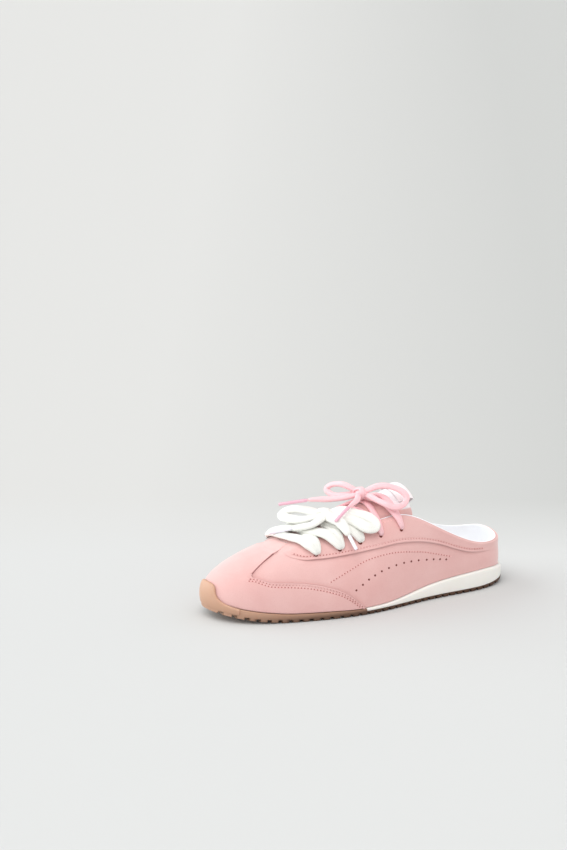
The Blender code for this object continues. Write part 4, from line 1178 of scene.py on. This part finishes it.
# %% Foam wedge
def make_wedge():
    share = WEDGE_FRONT - GAP / LENGTH
    lateral, medial = station_at(share, "l"), station_at(share, "m")
    u = np.concatenate([np.linspace(0, lateral, 150), np.linspace(medial, ROUND, 150)[:-1]])

    def bottom(x):
        return floor_height(x) + OUTSOLE_REAR + GAP / 2

    rings = layer_rings(u, bottom, feather_height, 0.0005, 0.0014)
    for ring in rings:
        ring[:, 0] = np.minimum(ring[:, 0], WEDGE_FRONT * LENGTH - GAP / 2)
    return new_piece("foam_wedge", *ring_slab(rings), FOAM)


wedge = make_wedge()
wedge.data.set_sharp_from_angle(angle=math.radians(38))
settle(wedge, "foam", "midsole")


# %% Footbed
def make_footbed():
    """A slab with a rounded edge and a top that is dished a little under the foot."""
    u = np.linspace(0, ROUND, 240, endpoint=False)
    rim = LEDGE + WALL + 2 * GAP
    rings = []
    for inset, rise in ((0.0006, 0.0), (0.0, 0.0006), (0.0, 0.0022), (0.0002, 0.0027), (0.0006, 0.0030)):
        plan = sole_outline(u, rim + inset)[0]
        rings.append(np.column_stack([plan, feather_height(plan[:, 0]) + SEAT + rise]))
    edge = rings[-1]
    spine = edge.copy()
    spine[:, 1] = np.interp(edge[:, 0] / LENGTH, [0, 0.45, 0.7, 1], [0, 0.03, 0.0, -0.03]) * BALL_WIDTH
    spine[:, 0] = np.clip(edge[:, 0], 0.03, LENGTH - 0.03)
    for share in (0.12, 0.25, 0.4, 0.55, 0.7, 0.85, 0.97):
        ring = edge + (spine - edge) * share
        ring[:, 2] = feather_height(ring[:, 0]) + SEAT + 0.0030 - 0.0011 * math.sin(share * math.pi / 2)
        rings.append(ring)
    return new_piece("footbed", *ring_slab(rings), LINING)


settle(make_footbed(), "lining", "insole")


# %% [markdown]
# ## The laces
# Two flat laces run through the same row of holes: a wide white one in front and a narrow pink one behind it,
# each tied in a bow. Cotton tape of this kind is puffy, so its section is a rounded rectangle. A bar dives into
# its hole with a pinched end. The bows are made the way they are tied: one run of lace leaves the knot, bends
# into a loop, comes back and goes on as the loose end with its tip. A cloth simulation of a bow is slow and hard
# to steer, and a swept section with its facing direction gives the same look.

# %% Lace helpers
def smooth_route(points, count):
    """A smooth curve through the chosen points, as count points at even steps."""
    points = np.array(points, float)
    place = np.arange(len(points), dtype=float)
    fine = np.linspace(0, len(points) - 1, 40 * len(points))
    dense = np.column_stack([smooth_line(list(zip(place, points[:, k])), fine) for k in range(3)])
    run = np.concatenate([[0], np.cumsum(np.linalg.norm(np.diff(dense, axis=0), axis=1))])
    even = np.linspace(0, run[-1], count)
    return np.column_stack([np.interp(even, run, dense[:, k]) for k in range(3)])


def unit(vectors):
    return vectors / np.linalg.norm(vectors, axis=-1, keepdims=True)


def route_run(route):
    return np.concatenate([[0], np.cumsum(np.linalg.norm(np.diff(route, axis=0), axis=1))])


def flat_tube(route, facing, width, thick, sides=20, round_ends=True):
    """Points, faces and map of a soft flat lace. facing is where its broad side looks; width and thick are
    numbers, or one for each point of the route."""
    tangent = unit(np.gradient(route, axis=0))
    facing = np.broadcast_to(np.asarray(facing, float), route.shape)
    side = unit(np.cross(tangent, facing))
    normal = np.cross(side, tangent)
    width = np.broadcast_to(np.asarray(width, float), len(route)).copy()
    thick = np.broadcast_to(np.asarray(thick, float), len(route)).copy()
    if round_ends:
        for end in (slice(0, 4), slice(None, -5, -1)):
            width[end] *= (0.30, 0.62, 0.84, 0.96)
            thick[end] *= (0.30, 0.66, 0.88, 0.97)
    turn = np.linspace(0, 2 * math.pi, sides, endpoint=False)
    flat = 0.72
    across = np.sign(np.cos(turn)) * np.abs(np.cos(turn)) ** flat
    out = np.sign(np.sin(turn)) * np.abs(np.sin(turn)) ** flat
    points = (
        route[:, None] + side[:, None] * (width[:, None] / 2 * across)[..., None]
        + normal[:, None] * (thick[:, None] / 2 * out)[..., None]
    )
    faces = grid_quads(len(route), sides, True).tolist()
    last = (len(route) - 1) * sides
    faces += [tuple(range(sides))[::-1], tuple(range(last, last + sides))]
    run = route_run(route)
    girth = np.abs(turn - math.pi) / math.pi
    uv = np.stack(np.broadcast_arrays(girth[None, :] * width.mean(), run[:, None]), -1).reshape(-1, 2)
    return points.reshape(-1, 3), faces, uv


def joined(parts):
    points, faces, uv = [], [], []
    for some, some_faces, some_uv in parts:
        start = sum(len(p) for p in points)
        faces += [tuple(k + start for k in face) for face in some_faces]
        points.append(some)
        uv.append(some_uv)
    return np.concatenate(points), faces, np.concatenate(uv)


# %% Lace tables
# Lace holes as places on the wall: station and height, from the front to the back.
HOLES = {
    "lateral": ((6.70, 0.777), (5.93, 0.793), (5.31, 0.827), (4.70, 0.833), (4.09, 0.850)),
    "medial": ((12.65, 0.800), (13.70, 0.800), (14.40, 0.805), (15.00, 0.810), (15.55, 0.815)),
}
WHITE = {"width": 0.0100, "thickness": 0.0026, "puff": 0.0040}
PINK = {"width": 0.0052, "thickness": 0.0022, "puff": 0.0030}
KNOTS = {
    "white": ((0.1534, 0.000, 0.0715), (0.0072, 0.0064, 0.0044)),
    "pink": ((0.1220, 0.000, 0.0856), (0.0050, 0.0048, 0.0042)),
}
# Each bar: hole on the outer side, hole on the inner side, rise over the bars under it, bow towards the toe, and
# the knot that it passes under.
WHITE_BARS = (
    (1, 2, 0.0000, 0.000, ""), (2, 3, 0.0006, 0.000, ""), (3, 3, 0.0012, 0.000, "white"),
    (3, 2, 0.0030, 0.003, ""), (2, 1, 0.0032, 0.004, ""), (1, 1, 0.0012, 0.007, ""),
)
PINK_BARS = (
    (4, 5, 0.0000, 0.000, ""), (5, 5, 0.0008, 0.000, "pink"), (4, 4, 0.0018, 0.002, ""), (5, 4, 0.0026, 0.000, "pink"),
)


# %% A taut line over the shoe
def search_tree(pieces):
    """A search tree over finished pieces, in the last's frame."""
    points, faces = [], []
    for piece in pieces:
        start = len(points)
        points += [tuple(np.array(vertex.co) - HEEL_END) for vertex in piece.data.vertices]
        faces += [tuple(start + k for k in face.vertices) for face in piece.data.polygons]
    return BVHTree.FromPolygons(points, faces)


UNDER_LACES = search_tree([upper, toe_overlay, *eyestays, tongue])


def taut(start, end, bow, knot_top, count=61):
    """A line that is pulled over the shoe from start to end: where the shoe bulges, it lies on it."""
    share = np.linspace(0, 1, count)
    line = start + (end - start) * share[:, None]
    line[:, 0] += bow * np.sin(share * math.pi)
    for k in range(1, count - 1):
        hit = UNDER_LACES.ray_cast(Vector((line[k, 0], line[k, 1], 0.2)), Vector((0, 0, -1)))[0]
        line[k, 2] = max(line[k, 2], hit.z) if hit is not None else line[k, 2]
    if knot_top:
        near = np.exp(-((share - 0.5) / 0.12) ** 2)
        line[:, 2] = np.maximum(line[:, 2], knot_top * near)
    kept = [0]
    while kept[-1] < count - 1:
        last = kept[-1]
        slopes = (line[last + 1:, 2] - line[last, 2]) / np.arange(1, count - last)
        kept.append(last + 1 + int(np.argmax(slopes)))
    line[:, 2] = np.interp(np.arange(count), kept, line[kept, 2])
    soft = np.convolve(np.pad(line[:, 2], 3, "edge"), np.ones(7) / 7, "valid")
    line[2:-2, 2] = soft[2:-2]
    return line


def around_the_shoe(route):
    """Where a lace's broad side looks: away from a line along the middle of the shoe."""
    axis = route.copy()
    axis[:, 1] *= 0.25
    axis[:, 2] = 0.030
    return unit(route - axis)


# %% Lace bars
def make_bars(name, pairs, lace, finish):
    parts = []
    for outer_hole, inner_hole, rise, bow, knot in pairs:
        start = wall(*HOLES["lateral"][outer_hole - 1], OVERLAY)
        end = wall(*HOLES["medial"][inner_hole - 1], OVERLAY)
        knot_top = KNOTS[knot][0][2] - KNOTS[knot][1][2] - lace["puff"] if knot else 0.0
        line = taut(start, end, bow, knot_top)
        facing = around_the_shoe(line)
        share = np.linspace(0, 1, len(line))[:, None]
        lift = lace["puff"] / 2 + 0.0002 + rise * np.sin(share * math.pi) ** 0.6
        path = line + facing * lift
        for end_at, inside in ((0, 1), (-1, -2)):
            along = unit(path[end_at] - path[inside])
            dive = [path[end_at] + along * 0.0010 - facing[end_at] * k for k in (0.0008, 0.0028)]
            path = np.vstack([dive[::-1], path]) if end_at == 0 else np.vstack([path, dive])
        route = smooth_route(path[[0, 1, *range(2, len(path) - 2, 3), -2, -1]], 90)
        run = route_run(route)
        from_end = np.minimum(run, run[-1] - run)
        narrow = np.interp(from_end, [0, 0.002, 0.005, 0.012], [0.40, 0.62, 0.82, 1.0])
        soft = 1 + 0.035 * np.sin(run * 420 + outer_hole * 2 + inner_hole)
        width = lace["width"] * narrow * soft
        thick = lace["puff"] * np.interp(from_end, [0, 0.004, 0.010], [0.55, 0.82, 1.0])
        parts.append(flat_tube(route, around_the_shoe(route), width, thick, 24))
    points, faces, uv = joined(parts)
    return new_piece(name, points, faces, finish, None, uv)


settle(make_bars("white_lace_crossings", WHITE_BARS, WHITE, WHITE_CORD), "white_lace", "white_lace_bars")
settle(make_bars("pink_lace_crossings", PINK_BARS, PINK, PINK_CORD), "pink_lace", "pink_lace_bars")

# %% Routes of the bows
# Points given in metres from the heel's end of the sole: the loop, then the loose end that follows it.
BOWS = {
    "white_front": ("white", (0.41, -0.06, 0.91), "white_loop_front", (
        (0.1650, -0.0100, 0.0742), (0.1715, -0.0200, 0.0728), (0.1752, -0.0262, 0.0705), (0.1785, -0.0262, 0.0682),
        (0.1800, -0.0185, 0.0680), (0.1755, -0.0090, 0.0682), (0.1690, -0.0030, 0.0692),
    ), "white_end_front", (
        (0.1640, 0.0085, 0.0700), (0.1700, 0.0100, 0.0685), (0.1765, 0.0080, 0.0672), (0.1835, 0.0030, 0.0655),
    ), (0.1985, -0.0075, 0.0605)),
    "white_rear": ("white", (0.37, 0.74, 0.55), "white_loop_rear", (
        (0.1410, 0.0080, 0.0752), (0.1325, 0.0160, 0.0738), (0.1265, 0.0215, 0.0722), (0.1228, 0.0262, 0.0690),
        (0.1240, 0.0294, 0.0660), (0.1300, 0.0292, 0.0664), (0.1355, 0.0244, 0.0692), (0.1410, 0.0165, 0.0712),
    ), "white_end_side", (
        (0.1530, 0.0125, 0.0722), (0.1500, 0.0185, 0.0712), (0.1480, 0.0245, 0.0676), (0.1462, 0.0295, 0.0620),
    ), (0.1440, 0.0380, 0.0530)),
    "pink_front": ("pink", (0.45, 0.25, 0.86), "pink_loop_front", (
        (0.1315, -0.0110, 0.0905), (0.1360, -0.0205, 0.0890), (0.1392, -0.0255, 0.0855), (0.1400, -0.0230, 0.0825),
        (0.1360, -0.0150, 0.0812),
    ), "pink_end_long", (
        (0.1360, -0.0005, 0.0835), (0.1480, -0.0050, 0.0825), (0.1570, -0.0085, 0.0825), (0.1640, -0.0105, 0.0822),
    ), (0.1862, -0.0160, 0.0800)),
    "pink_rear": ("pink", (0.30, 0.85, 0.45), "pink_loop_rear", (
        (0.1130, 0.0095, 0.0925), (0.1055, 0.0150, 0.0935), (0.0975, 0.0205, 0.0905), (0.0940, 0.0245, 0.0855),
        (0.0980, 0.0268, 0.0806), (0.1055, 0.0258, 0.0792), (0.1130, 0.0200, 0.0822),
    ), "pink_end_short", (
        (0.1300, 0.0095, 0.0835), (0.1350, 0.0118, 0.0817), (0.1395, 0.0140, 0.0800),
    ), (0.1540, 0.0205, 0.0725)),
}
TIP_NODES = {"white_front": "white_tip_front", "white_rear": "white_tip_side", "pink_front": "pink_tip_long",
             "pink_rear": "pink_tip_short"}
SIZES = {"white": (0.0084, 0.0042), "pink": (0.0048, 0.0033)}
LACE_FINISH = {"white": WHITE_CORD, "pink": PINK_CORD}


# %% Tips of the loose ends
def make_tip(name, start, end, radius, finish, sides=24):
    """A plastic sheath shrunk over the lace: a slim tube with rounded rims and a closed end."""
    way = unit(end - start)
    side = unit(np.cross(way, (0.0, 0.0, 1.0)))
    other = np.cross(side, way)
    length = np.linalg.norm(end - start)
    profile = [(0.0, 0.55), (0.0, 0.85), (0.0003, 0.98), (0.0008, 1.0), (length * 0.5, 0.97),
               (length - 0.0008, 0.93), (length - 0.0003, 0.88), (length, 0.72), (length, 0.40)]
    turn = np.linspace(0, 2 * math.pi, sides, endpoint=False)
    rings = [
        start + way * along + (np.cos(turn)[:, None] * side + np.sin(turn)[:, None] * other) * radius * wide
        for along, wide in profile
    ]
    faces = grid_quads(len(rings), sides, True).tolist()
    last = (len(rings) - 1) * sides
    faces += [tuple(range(sides))[::-1], tuple(range(last, last + sides))]
    return new_piece(name, np.concatenate(rings), faces, finish)


# %% Bows
def make_bow(name):
    colour, facing, loop_node, loop, end_node, end, reach = BOWS[name]
    centre = np.array(KNOTS[colour][0])
    route = smooth_route([centre, *loop, centre, *end], 150)
    width, thick = SIZES[colour]
    run = route_run(route)
    tail = np.interp(run, [run[-1] - 0.012, run[-1]], [1.0, 0.62])
    near_knot = np.exp(-(np.linalg.norm(route - centre, axis=1) / 0.006) ** 2)
    swell = 1 + 0.04 * np.sin(run * 300 + len(name)) - 0.30 * near_knot
    points, faces, uv = flat_tube(route, facing, width * swell * tail, thick * swell * np.sqrt(tail), 22)
    bow = new_piece(f"{name}_bow", points, faces, LACE_FINISH[colour], None, uv)
    tip = make_tip(f"{name}_tip", np.array(end[-1]), np.array(reach), 0.0015 if colour == "white" else 0.0014,
                   CLEAR_TIP if colour == "white" else ROSE_TIP)
    settle(bow, f"{colour}_lace", loop_node, end_node)
    settle(tip, "tip_plastic", TIP_NODES[name])
    print(f"{name}: {run[-1] * 1000:.0f} mm of lace")
    return bow


for name in BOWS:
    make_bow(name)


# %% Knots
def make_knot(colour):
    """A soft core and two bands of lace pulled round it."""
    centre, radii = (np.array(values) for values in KNOTS[colour])
    width, thick = SIZES[colour]
    turn = np.linspace(0, 2 * math.pi, 61)
    parts = []
    for tilt, size, shift in ((0.25, 1.0, 0.0), (-0.75, 0.94, 0.0012)):
        ring = np.column_stack([
            np.sin(tilt) * np.cos(turn) * radii[0] * size + shift, np.cos(turn) * radii[1] * size * 0.95,
            np.sin(turn) * radii[2] * size,
        ])
        facing = ring.copy()
        band = flat_tube(centre + ring, facing, width * 0.85, thick * 0.55, 18, False)
        parts.append(band)
    ring = unit(np.array([[1.0, 0.1, 0.0]]))
    core = centre + ring * np.linspace(-1, 1, 24)[:, None] * radii[0] * 0.95
    swell = np.sqrt(np.clip(1 - np.linspace(-0.98, 0.98, 24) ** 2, 0.02, 1))
    parts.append(flat_tube(core, (0, 0, 1.0), radii[1] * 1.7 * swell, radii[2] * 1.5 * swell, 20, False))
    points, faces, uv = joined(parts)
    return new_piece(f"{colour}_knot_wrap", points, faces, LACE_FINISH[colour], None, uv)


for colour in KNOTS:
    settle(make_knot(colour), f"{colour}_lace", f"{colour}_knot")

# %% [markdown]
# ## Stitches, needle holes and punched holes
# The seams are sewn with thread in the suede's own pink, so what shows is a row of small stitches with needle
# holes between them, and a curved row of punched holes on each side. Each row is a line on the wall with the
# wall's normal stored on its points. Geometry Nodes resample the line to the stitch length and set one stitch on
# each point, turned along the line. Modelling them one by one would be slow, and a bump would vanish side on.

# %% Node trees for stitches and holes
def tree_with(name, sizes):
    tree = bpy.data.node_groups.new(name, "GeometryNodeTree")
    tree.interface.new_socket("Line", in_out="INPUT", socket_type="NodeSocketGeometry")
    for label, value in sizes:
        tree.interface.new_socket(label, in_out="INPUT", socket_type="NodeSocketFloat").default_value = value
    tree.interface.new_socket("Made", in_out="OUTPUT", socket_type="NodeSocketGeometry")
    return tree, tree.nodes.new("NodeGroupInput"), tree.nodes.new("NodeGroupOutput")


def facing_nodes(tree, first_axis_from):
    """Rotation whose Z looks along the stored normal and whose X runs along the given socket, if any."""
    normal = tree.nodes.new("GeometryNodeInputNamedAttribute")
    normal.data_type = "FLOAT_VECTOR"
    normal.inputs["Name"].default_value = "up"
    turned = tree.nodes.new("FunctionNodeAlignRotationToVector")
    turned.axis = "Z"
    wire(tree, (normal.outputs["Attribute"], turned.inputs["Vector"]))
    if first_axis_from is not None:
        first = tree.nodes.new("FunctionNodeAlignRotationToVector")
        first.axis = "X"
        wire(tree, (first_axis_from, first.inputs["Vector"]), (first.outputs[0], turned.inputs["Rotation"]))
        turned.pivot_axis = "X"
    return turned.outputs[0]


def end_of_tree(tree, instances, out, finish):
    real = tree.nodes.new("GeometryNodeRealizeInstances")
    smooth = tree.nodes.new("GeometryNodeSetShadeSmooth")
    paint = tree.nodes.new("GeometryNodeSetMaterial")
    paint.inputs["Material"].default_value = finish
    wire(tree, (instances, real.inputs[0]), (real.outputs[0], smooth.inputs[0]), (smooth.outputs[0], paint.inputs[0]),
         (paint.outputs[0], out.inputs[0]))


def stitch_tree(name, finish, length, width, height):
    tree, given, out = tree_with(name, [("Pitch", 0.0022), ("Length", length), ("Width", width), ("Height", height)])
    curve = tree.nodes.new("GeometryNodeMeshToCurve")
    even = tree.nodes.new("GeometryNodeResampleCurve")
    even.mode = "LENGTH"
    ball = tree.nodes.new("GeometryNodeMeshUVSphere")
    ball.inputs["Segments"].default_value = 8
    ball.inputs["Rings"].default_value = 5
    ball.inputs["Radius"].default_value = 0.5
    size = tree.nodes.new("ShaderNodeCombineXYZ")
    on = tree.nodes.new("GeometryNodeInstanceOnPoints")
    tangent = tree.nodes.new("GeometryNodeInputTangent")
    wire(
        tree,
        (given.outputs["Line"], curve.inputs[0]), (curve.outputs[0], even.inputs["Curve"]),
        (given.outputs["Pitch"], even.inputs["Length"]), (even.outputs[0], on.inputs["Points"]),
        (ball.outputs["Mesh"], on.inputs["Instance"]), (given.outputs["Length"], size.inputs[0]),
        (given.outputs["Width"], size.inputs[1]), (given.outputs["Height"], size.inputs[2]),
        (size.outputs[0], on.inputs["Scale"]), (facing_nodes(tree, tangent.outputs[0]), on.inputs["Rotation"]),
    )
    end_of_tree(tree, on.outputs[0], out, finish)
    return tree


def hole_tree(name, finish):
    tree, given, out = tree_with(name, [("Depth", 0.0003)])
    disc = tree.nodes.new("GeometryNodeMeshUVSphere")
    disc.inputs["Segments"].default_value = 14
    disc.inputs["Rings"].default_value = 6
    disc.inputs["Radius"].default_value = 1.0
    radius = tree.nodes.new("GeometryNodeInputNamedAttribute")
    radius.data_type = "FLOAT"
    radius.inputs["Name"].default_value = "radius"
    size = tree.nodes.new("ShaderNodeCombineXYZ")
    on = tree.nodes.new("GeometryNodeInstanceOnPoints")
    wire(
        tree,
        (given.outputs["Line"], on.inputs["Points"]), (disc.outputs["Mesh"], on.inputs["Instance"]),
        (radius.outputs["Attribute"], size.inputs[0]), (radius.outputs["Attribute"], size.inputs[1]),
        (given.outputs["Depth"], size.inputs[2]), (size.outputs[0], on.inputs["Scale"]),
        (facing_nodes(tree, None), on.inputs["Rotation"]),
    )
    end_of_tree(tree, on.outputs[0], out, finish)
    return tree


# %% Rows as lines on the wall
def line_object(name, rows, radius=None):
    """One mesh of open lines. Each row is (points, normals)."""
    points = np.concatenate([row[0] for row in rows]) + HEEL_END
    normals = np.concatenate([row[1] for row in rows])
    edges, start = [], 0
    for row, _ in rows:
        edges += [(k, k + 1) for k in range(start, start + len(row) - 1)] if radius is None else []
        start += len(row)
    mesh = bpy.data.meshes.new(name)
    mesh.from_pydata(points.tolist(), edges, [])
    mesh.attributes.new("up", "FLOAT_VECTOR", "POINT").data.foreach_set("vector", normals.astype(np.float32).ravel())
    if radius is not None:
        mesh.attributes.new("radius", "FLOAT", "POINT").data.foreach_set("value", np.asarray(radius, np.float32))
    made = bpy.data.objects.new(name, mesh)
    bpy.context.scene.collection.objects.link(made)
    return made


def grown(name, rows, tree, sizes, slot, radius=None):
    """Runs a node tree on the rows and keeps its result as a plain mesh."""
    made = line_object(name, rows, radius)
    nodes = made.modifiers.new("grow", "NODES")
    nodes.node_group = tree
    for item in tree.interface.items_tree:
        if item.in_out == "INPUT" and item.name in sizes:
            nodes[item.identifier] = sizes[item.name]
    graph = bpy.context.evaluated_depsgraph_get()
    mesh = bpy.data.meshes.new_from_object(made.evaluated_get(graph))
    made.modifiers.clear()
    made.data = mesh
    print(f"{name}: {len(mesh.polygons)} faces")
    return settle(made, slot)


def on_wall(u, v, lift):
    u, v = np.broadcast_arrays(np.asarray(u, float), np.asarray(v, float))
    return wall(u, v, lift), wall_normal(u, v)


def seam_row(below, side):
    """A row on the wing, below its seam by this distance, from the bar to the sole."""
    if side == "l":
        u = np.linspace(5.15, BAR_SIDES[0] - 0.01, 200)
    else:
        u = np.linspace(BAR_SIDES[1] + 0.01, station_at(WEDGE_FRONT, "m"), 200)
    tall = np.interp(u, u_all, wall_height(u_all))
    v = seam_v(u) - below / tall
    keep = v > 0.015
    return on_wall(u[keep], v[keep], 0.00012 + OVERLAY * 1.15 - 0.00004)


DECORATIVE = ((6.25, 0.377), (5.9, 0.453), (5.55, 0.52), (5.2, 0.577), (4.85, 0.593), (4.33, 0.58), (3.81, 0.543),
              (3.29, 0.517), (2.83, 0.48), (2.66, 0.462))
PUNCHED = ((5.44, 0.253), (5.24, 0.31), (5.05, 0.357), (4.86, 0.387), (4.65, 0.41), (4.43, 0.42), (4.2, 0.423),
           (3.96, 0.42), (3.74, 0.413), (3.52, 0.407), (3.29, 0.4), (3.1, 0.4), (2.93, 0.398), (2.77, 0.393))


def across_the_shoe(u, v):
    """The place on the inner side that faces a place on the outer side: same foot position and height."""
    u, v = np.asarray(u, float), np.asarray(v, float)
    point = wall(u, v)
    half = np.linspace(10.2, 19.9, 800)
    found_u, found_v = [], []
    for spot in point:
        rows = wall_point(half, np.full_like(half, 0.5))
        k = int(np.argmin(np.abs(rows[:, 0] - spot[0])))
        column = wall_point(np.full(200, half[k]), np.linspace(0, 1, 200))
        found_u.append(half[k])
        found_v.append(np.linspace(0, 1, 200)[int(np.argmin(np.abs(column[:, 2] - spot[2])))])
    return np.array(found_u), np.array(found_v)


def dense(pairs, count):
    table = np.array(pairs)
    place = np.linspace(0, len(table) - 1, count)
    return [smooth_line(list(zip(range(len(table)), table[:, k])), place) for k in range(2)]


def eyestay_row(side, above):
    ends = EYESTAY_ENDS[side]
    near, far = (1.75, ends[1] - 0.55) if side == "lateral" else (ends[0] + 0.55, ROUND - 1.75)
    u = np.linspace(near, far, 260)
    tall = np.interp(u, u_all, wall_height(u_all))
    return on_wall(u, np.minimum(stay_v(u) + above / tall, 0.97), 0.00012 + OVERLAY * 1.15 - 0.00002)


def throat_row(side, below):
    """Row along the throat's edge, just inside the eyelets' side."""
    u = np.linspace(4.3, 7.1, 160) if side == "lateral" else np.linspace(12.9, 15.7, 160)
    tall = np.interp(u, u_all, wall_height(u_all))
    return on_wall(u, 1 - below / tall, 0.00012 + OVERLAY * 1.05)


# %% Sew the shoe
STITCH_PITCH = 0.0026
deco_u, deco_v = dense(DECORATIVE, 160)
deco_mu, deco_mv = across_the_shoe(deco_u, deco_v)
deco_mv = np.convolve(np.pad(deco_mv, 8, "edge"), np.ones(17) / 17, "valid")
rows = [seam_row(0.0017, "l"), seam_row(0.0039, "l"), seam_row(0.0017, "m"), seam_row(0.0039, "m")]
rows += [eyestay_row("lateral", 0.0029), eyestay_row("medial", 0.0029)]
rows += [throat_row("lateral", 0.0034), throat_row("medial", 0.0034)]
rows += [on_wall(deco_u, deco_v, 0.00004 + relief(deco_u, deco_v)), on_wall(deco_mu, deco_mv, 0.00004 + relief(deco_mu, deco_mv))]
grown("stitches", rows, stitch_tree("stitch row", THREAD, 0.0018, 0.00052, 0.00036), {"Pitch": STITCH_PITCH}, "suede")


def half_step(row, pitch):
    """Points at the needle holes of a row: half a stitch on from each stitch."""
    points, normals = row
    run = route_run(points)
    count = max(1, round(run[-1] / pitch))
    at = (np.arange(count) + 0.5) * run[-1] / count
    return (np.column_stack([np.interp(at, run, points[:, k]) for k in range(3)]),
            np.column_stack([np.interp(at, run, normals[:, k]) for k in range(3)]))


holes = [half_step(row, STITCH_PITCH) for row in rows]
total = sum(len(points) for points, _ in holes)
grown("needle_holes", holes, hole_tree("needle hole", NEEDLE), {"Depth": 0.00010}, "suede", np.full(total, 0.00054))

# %% Punched holes and lace holes
punched_u, punched_v = np.array(PUNCHED).T
mirror_u, mirror_v = across_the_shoe(punched_u, punched_v)
spots = [on_wall(punched_u, punched_v, relief(punched_u, punched_v)), on_wall(mirror_u, mirror_v, relief(mirror_u, mirror_v))]
radius = np.full(2 * len(PUNCHED), 0.00085)
lace_holes, sizes = [], []
for side in HOLES:
    for place, (u, v) in enumerate(HOLES[side]):
        lace_holes.append((u, v - 0.0016 / float(wall_height(u)[0])))
        sizes.append(0.0017 if place < 3 else 0.0014)
lace_u, lace_v = np.array(lace_holes).T
spots.append(on_wall(lace_u, lace_v, 0.00012 + OVERLAY * 1.15))
grown("punched_holes", spots, hole_tree("punched hole", PIT), {"Depth": 0.00012}, "suede",
      np.concatenate([radius, sizes]))


# %% [markdown]
# ## The floor
# The shoe stands on a plain pale sweep. Here it is one wide sheet, painted a little darker far behind the shoe
# and most on the right: painted shade where the studio's sweep turns up away from the light. It isn't part of the
# shoe.

# %% Floor
# The sheet's colours: in front on the right and on the left, behind on the right and on the left. The two behind,
# most the one on the right, are painted shade where the sweep turns up.
FLOOR = ((204, 204, 203), (205, 205, 204), (187, 187, 185), (203, 202, 200))


def make_floor():
    mesh = bpy.data.meshes.new("floor")
    made = bmesh.new()
    bmesh.ops.create_circle(made, cap_ends=True, segments=96, radius=14.0)
    made.to_mesh(mesh)
    made.free()
    finish, tree, shader, bump, place = start_finish("pale floor", 0.85, specular_ior_level=0.15)
    split = tree.nodes.new("ShaderNodeSeparateXYZ")
    grain = add_group(tree, GRAIN, place.outputs["Object"], grain_scale=600.0, cloud_scale=1.2)
    wire(tree, (place.outputs["Object"], split.inputs[0]))
    toward = math_node(tree, "ADD", math_node(tree, "MULTIPLY", split.outputs[0], 0.4327),
                       math_node(tree, "MULTIPLY", split.outputs[1], 0.9015))
    left = math_node(tree, "SUBTRACT", math_node(tree, "MULTIPLY", split.outputs[0], 0.9015),
                     math_node(tree, "MULTIPLY", split.outputs[1], 0.4327))
    # Painted shade: the sheet darkens far behind the shoe, most on the right.
    behind = math_node(tree, "MULTIPLY", math_node(tree, "SUBTRACT", -0.11, toward), 6.5, True)
    near_left = math_node(tree, "MULTIPLY", math_node(tree, "ADD", left, 0.20), 2.6, True)
    base = mixed(tree, near_left, srgb(*FLOOR[0]), srgb(*FLOOR[1]))
    back = mixed(tree, near_left, srgb(*FLOOR[2]), srgb(*FLOOR[3]))
    base = mixed(tree, behind, base, back)
    wire(tree, (base, shader.inputs["Base Color"]), (grain.outputs["Grain"], bump.inputs["Height"]))
    bump.inputs["Strength"].default_value = 0.05
    bump.inputs["Distance"].default_value = 0.0005
    mesh.materials.append(finish)
    floor = bpy.data.objects.new("floor", mesh)
    bpy.context.scene.collection.objects.link(floor)
    return floor


make_floor()
